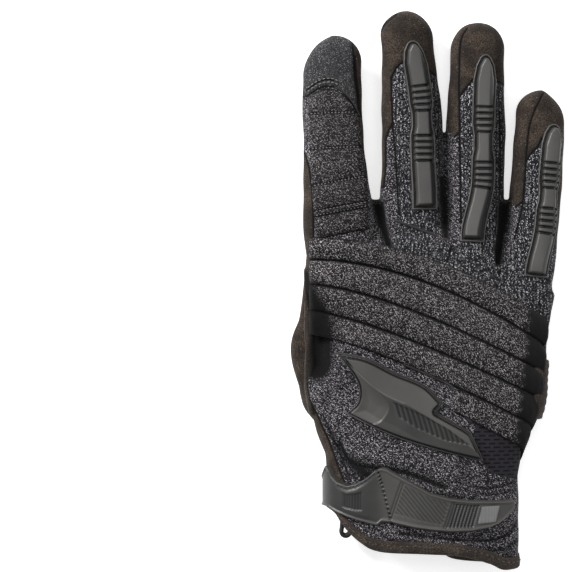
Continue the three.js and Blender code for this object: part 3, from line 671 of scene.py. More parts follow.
def tube(centre, up, radius, flat=1.0, sides=6):
    """A tube along points in space with an up direction for each, closed at its ends."""
    aside = unit(np.cross(unit(np.gradient(centre, axis=0)), up))
    turns = np.linspace(0, 2 * np.pi, sides, endpoint=False)
    taper = np.ones(len(centre))
    taper[[0, -1]] = 0.25
    ring = (
        centre[:, None]
        + taper[:, None, None] * radius * np.cos(turns)[None, :, None] * aside[:, None]
        + taper[:, None, None] * radius * flat * np.sin(turns)[None, :, None] * up[:, None]
    )
    return ring.reshape(-1, 3), grid_faces(len(centre), sides, wrap=True)[:, ::-1]


def laid(side, plan, grow):
    """Points over the skin along a line in plan, and the skin's outward directions there."""
    plan = np.asarray(plan, float)
    points = side.place(plan[:, 0], plan[:, 1], grow)
    higher = side.place(plan[:, 0], plan[:, 1], grow + 1.0)
    return points, higher - points


def piping(side, plan, radius, grow, step=1.0):
    """A round edge along a line in plan."""
    points, up = laid(side, resampled(plan, step), grow)
    return tube(points, up, radius, 0.8)


STITCH_POINTS = np.array([0, 0.3, 0.7, 1])  # shares of a stitch's length, the outer ones under the cloth


def thread(points, up, radius, sunk):
    """One stitch: a short tube whose ends lie under the cloth."""
    return tube(points - up * np.array([sunk, 0, 0, sunk])[:, None], up, radius, 0.9, 5)


def stitches(side, plan, pitch, length, radius, grow):
    """Short rounded threads along a line in plan."""
    line = resampled(plan, 0.3)
    spans = lengths_along(line)
    parts = []
    for start in np.arange(0.3 * pitch, spans[-1] - length, pitch):
        at = start + length * STITCH_POINTS
        plan_points = np.column_stack([np.interp(at, spans, line[:, i]) for i in (0, 1)])
        parts.append(thread(*laid(side, plan_points, grow), radius, 1.2 * radius))
    return joined(parts)


def moulded(name, outline, cell, relief, side, node):
    """A rubber piece on the skin. Its relief gives the height, how sunk it is with painted shade, and its
    painted highlights and pale marks.
    """
    marks = {}

    def height(edge, x, y):
        grow, marks["sunk"], marks["painted_highlight_and_pale_marks"] = relief(edge, x, y)
        return grow

    vertices, faces, _ = patch(outline, cell, height, side)
    wall = np.zeros(len(vertices) - len(marks["sunk"]))
    attributes = {key: np.concatenate([values, wall]) for key, values in marks.items()}
    mesh_object(name, vertices, faces, RUBBER, "rubber", [node], attributes)


def beside(line, x, y):
    """The number of a line's nearest point, and how far ahead of it and to its right each point lies."""
    nearest = ((x[:, None] - line[None, :, 0]) ** 2 + (y[:, None] - line[None, :, 1]) ** 2).argmin(1)
    ahead = unit(np.gradient(line, axis=0))[nearest]
    dx, dy = x - line[nearest, 0], y - line[nearest, 1]
    return nearest, dx * ahead[:, 0] + dy * ahead[:, 1], dx * ahead[:, 1] - dy * ahead[:, 0]


# Materials

class Paint:
    """A material whose nodes are added by short calls."""

    def __init__(self, name, roughness, specular=0.5, sheen=0.0):
        self.material = bpy.data.materials.new(name)
        self.material.use_nodes = True
        self.tree = self.material.node_tree
        self.surface = self.tree.nodes["Principled BSDF"]
        self.fill(self.surface, {"Roughness": roughness, "Specular IOR Level": specular})
        self.fill(self.surface, {"Sheen Weight": sheen, "Sheen Roughness": 0.4})
        metres = self.node("TexCoord").outputs["Object"]
        self.place = self.node("VectorMath", {0: metres, "Scale": 1000}, operation="SCALE").outputs[0]

    def fill(self, node, inputs):
        """Links or sets a node's inputs, by name or number."""
        for key, value in inputs.items():
            if isinstance(value, bpy.types.NodeSocket):
                self.tree.links.new(value, node.inputs[key])
            else:
                node.inputs[key].default_value = value

    def node(self, kind, inputs=None, **settings):
        made = self.tree.nodes.new("ShaderNode" + kind)
        for key, value in settings.items():
            setattr(made, key, value)
        self.fill(made, inputs or {})
        return made

    def math(self, operation, a, b=0.0, c=0.0):
        return self.node("Math", {0: a, 1: b, 2: c}, operation=operation).outputs[0]

    def range(self, value, low, high, out_low=0.0, out_high=1.0):
        """A smooth step between two values."""
        inputs = {"Value": value, "From Min": low, "From Max": high, "To Min": out_low, "To Max": out_high}
        return self.node("MapRange", inputs, interpolation_type="SMOOTHSTEP").outputs[0]

    def mix(self, share, a, b):
        """A colour between two."""
        return self.node("Mix", {0: share, 6: a, 7: b}, data_type="RGBA").outputs[2]

    def blend(self, share, a, b):
        """A value between two."""
        return self.node("Mix", {0: share, 2: a, 3: b}).outputs[0]

    def attribute(self, name, output="Fac"):
        return self.node("Attribute", attribute_name=name).outputs[output]

    def turned(self, place, angle=0.0, stretch=(1, 1, 1)):
        inputs = {"Vector": place, "Rotation": (0, 0, np.radians(angle)), "Scale": stretch}
        return self.node("Mapping", inputs).outputs[0]

    def noise(self, size, detail=2.0, rough=0.5):
        """Cloudy values between 0 and 1, of a size in millimetres."""
        inputs = {"Vector": self.place, "Scale": 1 / size, "Detail": detail, "Roughness": rough}
        return self.node("TexNoise", inputs).outputs[0]

    def cells(self, size, place=None, random=1.0):
        """Distance and random colour of round cells of a size."""
        inputs = {"Vector": place or self.place, "Scale": 1 / size, "Randomness": random}
        node = self.node("TexVoronoi", inputs)
        return node.outputs["Distance"], node.outputs["Color"]

    def part(self, vector, axis):
        return self.node("SeparateXYZ", {0: vector}).outputs[axis]

    def lines(self, value, pitch):
        """A soft wave between 0 and 1, one crest each pitch."""
        wave = self.math("SINE", self.math("MULTIPLY", value, 2 * np.pi / pitch))
        return self.math("MULTIPLY_ADD", wave, 0.5, 0.5)

    def done(self, colour, height, strength=0.6, distance=0.3, roughness=None):
        """Sets the colour and a bump from a height, and gives the material."""
        bump = self.node("Bump", {"Strength": strength, "Distance": distance / 1000, "Height": height})
        self.fill(self.surface, {"Base Color": colour, "Normal": bump.outputs[0]})
        if roughness is not None:
            self.fill(self.surface, {"Roughness": roughness})
        return self.material


def suede_look(paint):
    """Colour and height of the brown-black suede."""
    fine = paint.noise(0.5, 4, 0.8)
    tone = paint.range(paint.noise(7, 3), 0.32, 0.68)
    dark = paint.mix(tone, rgb(53, 46, 41), rgb(80, 69, 60))
    nap = paint.mix(paint.range(fine, 0.4, 0.6), rgb(22, 19, 17), dark)
    distance, colour = paint.cells(1.0)
    chosen = paint.range(paint.part(colour, 0), 0.8, 1.0)
    speck = paint.math("MULTIPLY", paint.range(distance, 0.3, 0.05), chosen)
    return paint.mix(paint.math("MULTIPLY", speck, 0.8), nap, rgb(135, 124, 108)), fine


def yarn(paint, size, angle, stretch, dark, light, glint_tone, share):
    """Colour and height of a fabric of small bright stitches on a dark ground."""
    distance, colour = paint.cells(size, paint.turned(paint.place, angle, stretch), random=0.9)
    bead = paint.range(distance, 0.7, 0.15)
    tone = paint.part(colour, 1)
    lit = paint.range(paint.part(colour, 0), share, 1.0)
    base = paint.mix(bead, dark, paint.mix(tone, dark, light))
    return paint.mix(paint.math("MULTIPLY", bead, lit), base, glint_tone), bead


def knit_look(paint):
    """Colour and height of the charcoal knit, in faint slanting lines."""
    tones = rgb(9, 8, 10), rgb(90, 86, 90), rgb(250, 244, 252)
    colour, bead = yarn(paint, 0.41, 32, (0.9, 1.2, 1), *tones, 0.44)
    line = paint.lines(paint.part(paint.turned(paint.place, -38), 0), 1.5)
    patches = paint.range(paint.noise(6, 2), 0.3, 0.7, 0.75, 1.0)
    depth = paint.math("MULTIPLY", paint.range(line, 0.0, 0.8, 0.5, 1.0), patches)
    return paint.mix(depth, rgb(22, 20, 23), colour), bead


def dash_look(paint):
    """Colour of the smooth mesh by the wrist: rows of short dark slits."""
    x, y = paint.part(paint.place, 0), paint.part(paint.place, 1)
    level = paint.math("DIVIDE", y, 1.75)
    order = paint.math("FLOOR", level)
    shift = paint.math("MULTIPLY", paint.math("MODULO", order, 2.0), 2.2)
    run = paint.math("ADD", paint.math("ADD", x, shift), paint.noise(3, 1))
    along = paint.math("PINGPONG", run, 2.2)
    aside = paint.math("ABSOLUTE", paint.math("SUBTRACT", paint.math("FRACT", level), 0.5))
    slit = paint.math("MULTIPLY", paint.range(along, 0.5, 0.9), paint.range(aside, 0.28, 0.12))
    plain = paint.mix(paint.noise(0.5, 2), rgb(33, 31, 36), rgb(52, 49, 55))
    return paint.mix(slit, plain, rgb(10, 9, 11))


def mesh_look(paint):
    """Colour and height of the open mesh: vertical wavy rows of knots."""
    swerve = paint.math("MULTIPLY", paint.noise(4, 1), 2.2)
    x = paint.math("ADD", paint.part(paint.place, 0), swerve)
    rows = paint.range(paint.lines(x, 1.6), 0.05, 0.7, 0.25, 1.0)
    tones = rgb(9, 9, 11), rgb(84, 83, 87), rgb(226, 226, 233)
    colour, bead = yarn(paint, 0.47, 0, (1.1, 0.85, 1), *tones, 0.44)
    return paint.mix(rows, rgb(14, 14, 17), colour), paint.math("MULTIPLY", bead, rows)


def grain_look(paint):
    """Colour and height of the coarse-grained grey grip leather."""
    distance, colour = paint.cells(0.42)
    fine = paint.noise(0.34, 4, 0.8)
    pebble = paint.range(distance, 0.6, 0.1)
    spark = paint.math("MULTIPLY", pebble, paint.range(paint.part(colour, 2), 0.62, 1.0))
    base = paint.mix(paint.range(fine, 0.4, 0.6), rgb(44, 43, 45), rgb(112, 110, 112))
    base = paint.mix(pebble, rgb(38, 37, 39), base)
    return paint.mix(spark, base, rgb(168, 168, 170)), pebble


def make_shell_paint():
    paint = Paint("shell_fabric", 0.88, 0.15, 0.04)
    suede, suede_height = suede_look(paint)
    knit, knit_height = knit_look(paint)
    mesh, mesh_height = mesh_look(paint)
    grain, grain_height = grain_look(paint)
    in_knit, in_mesh, in_grain = (
        paint.range(paint.attribute(key), -0.12, 0.12) for key in ("knit", "open_mesh", "grain")
    )
    cloth = paint.mix(in_mesh, knit, mesh)
    cloth = paint.mix(paint.range(paint.attribute("dashes"), -0.5, 0.5), cloth, dash_look(paint))
    cloth_height = paint.blend(in_mesh, knit_height, mesh_height)
    colour = paint.mix(in_knit, suede, cloth)
    height = paint.blend(in_knit, suede_height, cloth_height)
    colour = paint.mix(in_grain, colour, grain)
    height = paint.blend(in_grain, height, grain_height)
    # Darker along the seams: a dark seam line that is also painted shade in the seams' grooves.
    seam = paint.range(paint.attribute("seam"), 0.2, 0.75)
    colour = paint.mix(seam, rgb(9, 8, 8), colour)
    # Painted shade: the folds' bottoms, the pocket by the thumb, the outer sides of the middle and ring
    # fingers, and a little over the shell's inside.
    shade = paint.range(paint.attribute("shade"), 0, 1)
    colour = paint.mix(shade, colour, rgb(8, 7, 8))
    return paint.done(colour, height, 0.7, 0.35)


def make_rib_paint():
    paint = Paint("rib_fabric", 0.86, 0.15, 0.03)
    paint.place = paint.attribute("weave", "Vector")
    tones = rgb(8, 7, 8), rgb(82, 78, 80), rgb(230, 223, 226)
    colour, bead = yarn(paint, 0.36, 35, (0.9, 1.2, 1), *tones, 0.5)
    line = paint.lines(paint.part(paint.turned(paint.place, -40), 0), 1.3)
    colour = paint.mix(paint.range(line, 0.0, 0.8, 0.55, 1.0), rgb(24, 22, 24), colour)
    # The ribs' plain ends on the little-finger side: smooth, without specks, and darker, partly as painted
    # shade where they turn down over the edge.
    fine = paint.mix(paint.noise(0.5, 2), rgb(15, 14, 16), rgb(28, 27, 29))
    colour = paint.mix(paint.attribute("plain"), colour, fine)
    # Darker by the seams, a dark seam line that is also painted shade in the grooves, and painted shade at
    # the left ends of the lower ribs, by the thumb's pocket.
    edge = paint.range(paint.attribute("edge"), 0.15, 1.3)
    colour = paint.mix(edge, rgb(8, 7, 8), colour)
    return paint.done(colour, bead, 0.55, 0.3)


def make_rubber_paint():
    paint = Paint("moulded_rubber", 0.42, 0.5)
    mottle = paint.noise(0.35, 3, 0.6)
    broad = paint.noise(12, 2)
    base = paint.mix(paint.range(broad, 0.3, 0.7), rgb(43, 42, 41), rgb(52, 51, 50))
    # Lighter with painted highlights on rims, crests and lit facets, and with a few pale marks.
    base = paint.mix(paint.math("MULTIPLY", paint.attribute("painted_highlight_and_pale_marks"), 0.8), base, rgb(92, 90, 87))
    # Darker where sunk, as painted shade in recesses, and on facets that face away from the light.
    base = paint.mix(paint.attribute("sunk"), base, rgb(7, 6, 6))
    rough = paint.range(mottle, 0.3, 0.7, 0.36, 0.52)
    return paint.done(base, mottle, 0.12, 0.1, rough)


def make_plain_paint(name, look, roughness, strength=0.6, distance=0.3):
    paint = Paint(name, roughness, 0.3, 0.05)
    colour, height = look(paint)
    seam = paint.range(paint.attribute("edge"), 0.15, 0.7)
    colour = paint.mix(seam, rgb(20, 19, 18), colour)
    return paint.done(colour, height, strength, distance)


def make_thread_paint(name, colour):
    paint = Paint(name, 0.6, 0.4)
    twist = paint.noise(0.3, 2)
    light = tuple(min(1, 1.6 * c) for c in colour[:3]) + (1,)
    return paint.done(paint.mix(paint.range(twist, 0.35, 0.65), colour, light), twist, 0.5, 0.15)


def make_webbing_paint():
    paint = Paint("woven_webbing", 0.6, 0.4)
    up = paint.lines(paint.part(paint.place, 2), 1.0)
    along = paint.lines(paint.math("ADD", paint.part(paint.place, 0), paint.part(paint.place, 1)), 0.9)
    weave = paint.math("MULTIPLY", up, along)
    return paint.done(paint.mix(weave, rgb(18, 17, 19), rgb(70, 68, 72)), weave, 0.6, 0.25)


def make_film_paint():
    paint = Paint("reflective_film", 0.35, 0.6)
    distance, _ = paint.cells(0.35, random=0.2)
    glass = paint.range(distance, 0.6, 0.1)
    tone = paint.mix(paint.range(paint.noise(3, 2), 0.3, 0.7), rgb(108, 108, 108), rgb(124, 124, 124))
    edge = paint.range(paint.attribute("edge"), 0.0, 0.35)
    tone = paint.mix(edge, rgb(60, 60, 60), paint.mix(glass, rgb(98, 98, 98), tone))
    return paint.done(tone, glass, 0.15, 0.1)


SHELL = make_shell_paint()
RIBS = make_rib_paint()
RUBBER = make_rubber_paint()
SUEDE = make_plain_paint("suede", suede_look, 0.92)
GRIP = make_plain_paint("grip_leather", grain_look, 0.75, 0.8, 0.4)
THREAD = make_thread_paint("thread", rgb(62, 58, 54))
WEBBING = make_webbing_paint()
FILM = make_film_paint()
PIPING = make_thread_paint("grey_piping", rgb(36, 34, 35))
GREY_THREAD = make_thread_paint("grey_thread", rgb(112, 110, 110))

# The fabrics on each finger, outlined by shares of its length and of half its lane: open mesh beside the
# guard, knit on the sides, and the grained cover of the index finger's tip, whose lower edge comes first.
# All else on the fingers is suede.
COVER_ARC = [(0.707, -0.69), (0.735, -0.45), (0.75, -0.2), (0.745, 0.05), (0.72, 0.28)]
FINGER_ZONES = {
    "index": dict(
        grain=[(0.707, -1.4), *COVER_ARC, (0.67, 0.52), (0.6, 0.74), (0.7, 0.68), (0.8, 0.62), (0.95, 0.56),
               (1.2, 0.5), (1.2, -1.4)],
        knit=[(0.707, -1.4), *COVER_ARC, (0.67, 0.5), (0.6, 0.66), (0.5, 0.73), (0.43, 0.78), (0.41, 1.4),
              (-0.3, 1.4), (-0.3, -0.76), (0.0, -0.74), (0.149, -0.68), (0.26, -0.66), (0.36, -0.7),
              (0.44, -0.82), (0.47, -1.4)],
    ),
    "middle": dict(
        mesh=[(0.77, -0.12), (0.762, -0.25), (0.742, -0.4), (0.7, -0.57), (0.606, -0.58), (0.473, -0.58),
              (0.25, -0.48), (0.081, -0.4), (-0.3, -0.36), (-0.3, 1.4), (0.69, 1.4), (0.71, 0.75),
              (0.74, 0.4)],
        knit=[(0.5, -0.59), (0.47, -0.7), (0.43, -0.79), (0.3, -0.82), (0.22, -0.86), (0.19, -1.4),
              (-0.3, -1.4), (-0.3, -0.36), (0.081, -0.4), (0.25, -0.48), (0.473, -0.58)],
    ),
    "ring": dict(
        mesh=[(0.74, -0.16), (0.717, -0.3), (0.66, -0.64), (0.425, -0.58), (0.066, -0.53), (-0.3, -0.5),
              (-0.3, 1.4), (0.7, 1.4), (0.73, 0.75), (0.74, 0.5)],
        knit=[(0.5, -0.6), (0.48, -0.8), (0.455, -1.4), (-0.3, -1.4), (-0.3, -0.5), (0.066, -0.53),
              (0.425, -0.58)],
    ),
    "little": dict(
        mesh=[(0.72, 0.06), (0.67, -0.07), (0.62, -0.35), (0.576, -0.5), (0.346, -0.51), (0.2, -0.62),
              (0.055, -0.82), (-0.3, -1.1), (-0.3, 0.66), (0.13, 0.62), (0.48, 0.55), (0.7, 0.5)],
        knit=[(0.346, -0.51), (0.305, -0.82), (0.285, -1.4), (-0.3, -1.4), (-0.3, -1.1), (0.055, -0.82),
              (0.2, -0.62)],
    ),
}
# Seams that run on over one fabric, in the same shares
FINGER_SEAMS = {
    "index": [[(0.89, 0.62), (0.8, 0.67), (0.7, 0.72), (0.6, 0.78)],
              [(0.39, 0.83), (0.25, 0.8), (0.12, 0.78)],
              [(0.735, -0.72), (0.766, -0.45), (0.782, -0.2), (0.776, 0.05)]],
    "middle": [[(0.985, -0.25), (0.94, -0.62), (0.87, -0.84), (0.8, -0.86)],
               [(0.985, 0.4), (0.93, 0.72), (0.85, 0.86)]],
    "ring": [[(0.97, -0.42), (0.93, -0.6), (0.86, -0.66), (0.66, -0.64)],
             [(0.14, 0.85), (0.35, 0.86), (0.6, 0.8)]],
    "little": [[(0.985, 0.05), (0.95, -0.08), (0.87, -0.3), (0.76, -0.47), (0.576, -0.51)]],
}


def finger_zone(finger, along, side):
    """Signed distances into the finger's mesh, knit and grained cover, and the distance to its seams."""
    scale = np.array([finger["length"], finger["lane"] / 2])
    zone = FINGER_ZONES[finger["name"]]
    none = np.full(len(along), -FAR)
    found = [
        outline_distance(np.array(zone[key]) * scale, along, side)[0] if key in zone else none
        for key in ("mesh", "knit", "grain")
    ]
    seam = np.full(len(along), FAR)
    for line in FINGER_SEAMS[finger["name"]]:
        seam = np.minimum(seam, line_distance(catmull(np.array(line) * scale, 16), along, side))
    return (*found, seam)


# Folds and hollows of the upper side: points as shares of the knuckles' width and of the palm's length, with
# the half width and height of each in millimetres, and how strongly painted shade darkens its bottom (height
# 0: shade only)
FOLDS = [
    ([(-0.49, -0.21), (-0.462, -0.28), (-0.458, -0.37)], 6.4, -4.4, 2.6),
    ([(-0.49, -0.1), (-0.498, -0.2), (-0.498, -0.3)], 2.8, 0.0, 0.95),
    ([(-0.21, 0.12), (-0.19, 0.05), (-0.165, -0.01)], 2.2, -2.4, 1.1),
    ([(-0.165, 0.09), (-0.15, 0.04), (-0.15, 0.0)], 1.3, 0.8, 0.0),
    ([(0.055, 0.2), (0.06, 0.1), (0.065, 0.02)], 1.9, -1.8, 0.9),
    ([(0.04, 0.02), (0.055, -0.005), (0.07, 0.015)], 1.3, 0.9, 0.0),
    ([(0.3, 0.14), (0.29, 0.04), (0.272, -0.055)], 2.2, -2.8, 1.2),
    ([(0.25, -0.04), (0.262, -0.085), (0.29, -0.07), (0.3, -0.03)], 1.2, 1.0, 0.0),
    ([(0.2, 0.1), (0.205, 0.0), (0.215, -0.06)], 0.9, -0.7, 0.5),
    ([(-0.36, -0.62), (-0.32, -0.675), (-0.26, -0.69), (-0.13, -0.7), (0.0, -0.735), (0.05, -0.75)],
     1.5, -1.5, 0.9),
    ([(-0.315, -0.675), (-0.27, -0.705), (-0.2, -0.72)], 3.6, -0.8, 0.9),
    ([(-0.42, -0.54), (-0.3625, -0.6424), (-0.315, -0.735)], 0.8, -0.6, 0.85),
    ([(-0.28, -0.655), (-0.15, -0.665), (0.0, -0.7), (0.1, -0.72)], 1.7, 0.8, 0.0),
    ([(-0.12, -0.735), (0.05, -0.775), (0.2, -0.79)], 1.0, -0.8, 0.6),
    ([(0.1, -0.735), (0.22, -0.755), (0.36, -0.735)], 0.8, -0.8, 0.7),
    ([(0.1, -0.755), (0.22, -0.775), (0.36, -0.76)], 0.8, -0.7, 0.6),
    ([(0.12, -0.715), (0.24, -0.735), (0.36, -0.715)], 0.8, -0.5, 0.4),
    ([(-0.12, -0.893), (0.0, -0.903), (0.15, -0.915), (0.27, -0.91), (0.34, -0.87), (0.365, -0.81)],
     0.9, -1.0, 0.8),
    ([(-0.1, -0.905), (0.0, -0.915), (0.15, -0.928), (0.28, -0.925), (0.35, -0.88), (0.375, -0.82)],
     1.1, 0.7, 0.0),
    ([(-0.15, -0.918), (0.0, -0.93), (0.15, -0.942), (0.28, -0.945), (0.365, -0.9)], 0.9, -0.8, 0.7),
    ([(0.05, -0.955), (0.2, -0.962), (0.29, -0.97), (0.36, -0.94)], 0.9, -0.6, 0.5),
    ([(0.3, -0.955), (0.33, -0.98), (0.36, -0.985)], 0.9, -0.7, 0.6),
]
# The seam across the middle finger's root
ROOT_SEAM = [(-0.165, -0.015), (-0.145, 0.078), (-0.03, 0.045), (0.089, 0.009), (0.065, -0.06)]
# The suede of the palm that comes up round the wrist on the thumb's side
WRIST_EDGE = [(-0.56, -0.45), (-0.475, -0.49), (-0.435, -0.55), (-0.4, -0.61), (-0.36, -0.7),
              (-0.315, -0.78), (-0.4, -0.9), (-0.6, -0.9)]
# Smooth slit mesh by the wrist on the little-finger side
SLIT_MESH = [(0.17, -0.555), (0.26, -0.58), (0.36, -0.6), (0.45, -0.5), (0.52, -0.6), (0.45, -0.75),
             (0.24, -0.71), (0.17, -0.65)]
PALM_PLAN = np.array([KNUCKLE_WIDTH, PALM_LENGTH])


def line_distance(line, x, y):
    """The distance to an open line."""
    best = np.full(np.shape(x), 1e9)
    points = np.asarray(line, float)
    for a, b in zip(points[:-1], points[1:]):
        run = b - a
        share = np.clip(((x - a[0]) * run[0] + (y - a[1]) * run[1]) / (run @ run), 0, 1)
        best = np.minimum(best, np.hypot(x - a[0] - share * run[0], y - a[1] - share * run[1]))
    return best


def fold_relief(x, y):
    """The folds' rise and shade at points of the plan."""
    height, shade = np.zeros(len(x)), np.zeros(len(x))
    for points, reach, rise, dark in FOLDS:
        near = hill(line_distance(catmull(np.array(points) * PALM_PLAN, 24), x, y), reach)
        height += rise * near
        shade = np.maximum(shade, np.minimum(dark * near, 1))
    return height, shade


# Hem lines in plan: shares of the wrist's width and of the cuff's length
BACK_HEM = catmull([(-0.1, 0.62), (0.03, 0.52), (0.09, 0.38), (0.17, 0.25), (0.27, 0.17), (0.5, 0.15),
                    (0.7, 0.13), (0.85, 0.06), (0.94, 0), (1.1, 0.04)], 60)
PALM_HEM = catmull([(-0.1, 0.72), (0.04, 0.62), (0.12, 0.42), (0.2, 0.33), (0.5, 0.28), (0.6, 0.2),
                    (0.68, 0.06), (1.1, 0.02)], 60)


def across_of(x):
    """The place across the wrist, from 0 on the thumb's side to 1."""
    return (x + WRIST_SHIFT) / WRIST_WIDTH + 0.5


def hem_y(x, above):
    """Where the hem lies at x, on a scale from the palm's side (0) to the back's (1)."""
    [back], [palm] = (table_at(table, across_of(x)) for table in (BACK_HEM, PALM_HEM))
    return -PALM_LENGTH + CUFF_LENGTH * lerp(palm, back, above)


def finger_owners(x, y, from_root):
    """The finger that each point belongs to, or -1 on the hand."""
    owner = np.full(len(x), -1)
    reach = np.full(len(x), 1.45)
    for order, finger in enumerate(FINGERS):
        along, side = finger_plan(finger, x, y)
        aside = np.abs(side) / (finger["lane"] / 2)
        mine = (aside < reach) & (along > from_root(finger))
        reach = np.where(mine, aside, reach)
        owner = np.where(mine, order, owner)
    return owner


def web_measure(x, y):
    """Below 1 on the folded cloth between the fingers."""
    return np.min([web_form(web, x, y)[0] for web in WEBS], axis=0)


def zone_maps(points):
    """Signed distances into each fabric, and the distance to the seams, at points of the skin."""
    x, y = points[:, 0], points[:, 1]
    knit, grain, open_mesh, dashes = (np.full(len(x), -FAR) for _ in range(4))
    seam = np.full(len(x), FAR)
    dim = np.zeros(len(x))
    owner = finger_owners(x, y, lambda finger: 0)
    for order, finger in enumerate(FINGERS):
        mine = np.where(owner == order)[0]
        along, side = finger_plan(finger, x[mine], y[mine])
        mesh_inside, knit_inside, cover, lines = finger_zone(finger, along, side)
        crotch = np.where((order == 0) & (side < -0.3 * finger["lane"]), -FAR, FAR - along)
        knit[mine] = np.maximum(np.maximum(mesh_inside, knit_inside), crotch)
        grain[mine] = cover
        open_mesh[mine] = np.maximum(mesh_inside, -FAR)
        borders = np.where(crotch > 0, FAR, np.minimum(np.abs(mesh_inside), np.abs(knit_inside)))
        seam[mine] = np.minimum(np.minimum(lines, borders), np.abs(cover))
        # Painted shade on the little-finger side of the middle and ring fingers, the side away from the key
        # light.
        if order in (1, 2):
            outer = smooth(side, 0.12 * finger["lane"], 0.36 * finger["lane"])
            dim[mine] = 0.5 * outer * smooth(along, 0, 12)
    web = (1.15 - web_measure(x, y)) * 2.5
    knit = np.maximum(knit, np.where(owner >= 0, web, -FAR))
    seam = np.where(web > 0, FAR, seam)
    open_mesh = np.where(web > 0, -3.0, open_mesh)
    hand = owner < 0
    wrist, _ = outline_distance(np.array(WRIST_EDGE) * PALM_PLAN, x[hand], y[hand])
    left_edge = np.interp(y[hand] / PALM_LENGTH, [-0.48, -0.4], [-0.515, -0.474]) * KNUCKLE_WIDTH
    knit[hand] = np.minimum(-wrist, np.minimum((x[hand] - left_edge) * 2, 6))
    seam[hand] = np.minimum(np.abs(wrist), line_distance(np.array(ROOT_SEAM) * PALM_PLAN, x[hand], y[hand]))
    open_mesh[hand] = np.where(y[hand] > -0.24 * PALM_LENGTH, 3.0, -3.0)
    dashes[hand] = outline_distance(np.array(SLIT_MESH) * PALM_PLAN, x[hand], y[hand])[0]
    high = (points[:, 2] - midline(x, y) - 0.5) * 2
    knit, grain = np.minimum(knit, high), np.minimum(grain, high)
    seam = np.where(high > 0, seam, FAR)
    return dict(knit=knit, grain=grain, open_mesh=open_mesh, seam=seam, dashes=dashes, shade=dim)


def build_skins(glove, stall, corner):
    """The shell's outer skin by pieces, its inside, and the thumb's stall."""
    vertices, quads = surface_nets(glove, GRID_LOW, VOXEL)
    vertices = relax(vertices, quads, 2)
    normals = normals_of(vertices, quads)
    x, y, z = vertices.T
    above = smooth(z - midline(x, y), -1.5, 1.5)
    top = smooth(normals[:, 2], 0.1, 0.5)
    height, shade = fold_relief(x, y)
    zones = zone_maps(vertices)
    height = height * top - 0.45 * hill(zones["seam"], 0.7) * top
    ripple = 0.25 * np.sin(x * 0.31 + 1.3 * np.sin(y * 0.13)) * np.sin(y * 0.23 + 0.7 * np.sin(x * 0.17))
    height += ripple * smooth(z, 2, 6)
    vertices = vertices + normals * height[:, None]
    hem = hem_y(x, above)
    kept = (vertices[quads, 1] > hem[quads]).any(1)
    quads = quads[kept]
    low = vertices[:, 1] < hem
    vertices[low, 1] = hem[low]
    normals = normals_of(vertices, quads)
    zones["shade"] = np.maximum(shade, zones["shade"]) * top

    centre = vertices[quads].mean(1)
    upper = centre[:, 2] > midline(centre[:, 0], centre[:, 1])
    owner = finger_owners(centre[:, 0], centre[:, 1], lambda finger: finger["stub"])
    cuff = centre[:, 1] < -PALM_LENGTH + CUFF_LENGTH
    pieces = [("hand_back", (owner < 0) & upper & ~cuff, "knit", ["back_panel"]),
              ("hand_palm", (owner < 0) & ~upper & ~cuff, "suede", ["palm_panel"]),
              ("wrist_back", cuff & upper, "knit", ["cuff_back"]),
              ("wrist_palm", cuff & ~upper, "suede", ["cuff_palm"])]
    for order, finger in enumerate(FINGERS):
        pieces.append((finger["name"] + "_stall", owner == order, "suede", [finger["name"] + "_finger"]))
    for name, mask, slot, nodes in pieces:
        used, faces = numbered(quads[mask])
        attributes = {key: values[used] for key, values in zones.items()}
        mesh_object(name, vertices[used], faces, SHELL, slot, nodes, attributes, normals[used])

    inner = glove[::2, ::2, ::2] + WALL
    points, faces = surface_nets(inner, GRID_LOW, 2 * VOXEL)
    points = relax(points, faces, 2)
    px, py, pz = points.T
    facing = smooth(normals_of(points, faces)[:, 2], 0.1, 0.5)
    pz = points[:, 2] = pz + np.minimum(fold_relief(px, py)[0], 0) * facing
    hem = hem_y(px, smooth(pz - midline(px, py), -1.5, 1.5))
    faces = faces[(points[faces, 1] > hem[faces]).any(1)]
    points[:, 1] = np.maximum(points[:, 1], hem)
    used, faces = numbered(faces)
    far = np.full(len(used), FAR)
    flat = dict(knit=-far, grain=-far, open_mesh=-far, dashes=-far, seam=far, shade=np.full(len(used), 0.3))
    mesh_object("shell_inside", points[used], faces[:, ::-1], SHELL, "suede", (), flat)

    points, faces = surface_nets(stall, corner, VOXEL)
    points = relax(points, faces, 2)
    used, faces = numbered(faces)
    along, side, _ = thumb_plan(points[used, 0], points[used, 1])
    face = np.minimum(THUMB_WIDTH / 2 * 0.78 - np.abs(side), along - THUMB_LAP - 6)
    face = np.minimum(face, (THUMB_LEVEL - points[used, 2]) * 2)
    far = np.full(len(used), FAR)
    attributes = dict(knit=face, open_mesh=face, grain=-far, dashes=-far, seam=np.abs(face), shade=0 * far)
    mesh_object("thumb_stall", points[used], faces, SHELL, "suede", ["thumb"], attributes)


def silhouette(side):
    """The glove's lowest and highest x at each y of the grid."""
    x, beyond = GRID[0][:, None], 99
    return np.where(side.found, x, beyond).min(0), np.where(side.found, x, -beyond).max(0)


# The ribbed pad over the knuckles, between curved seams that sweep down to the little finger
PANEL_LEFT = -0.476 * KNUCKLE_WIDTH
PANEL_RIGHT = 0.455 * KNUCKLE_WIDTH
LAST_RIB_START = 0.6
# Each seam's place in pitches below the first, its sweep and how it bows
RIB_SEAMS = [(0, 0.95, 2), (0.92, 1.02, 1.85), (1.92, 1.065, 1.45), (3, 1.08, 1.3), (4, 1.15, 1.28),
             (4.06, 1.47, 1)]
# The piped edge below the last rib, in millimetres of the plan
RIB_PIPING = [(-13.3, -53.6), (-2, -58.4), (5.6, -61.8), (9.8, -65), (11.2, -69.8), (12.9, -74.7),
              (18.2, -80.4)]


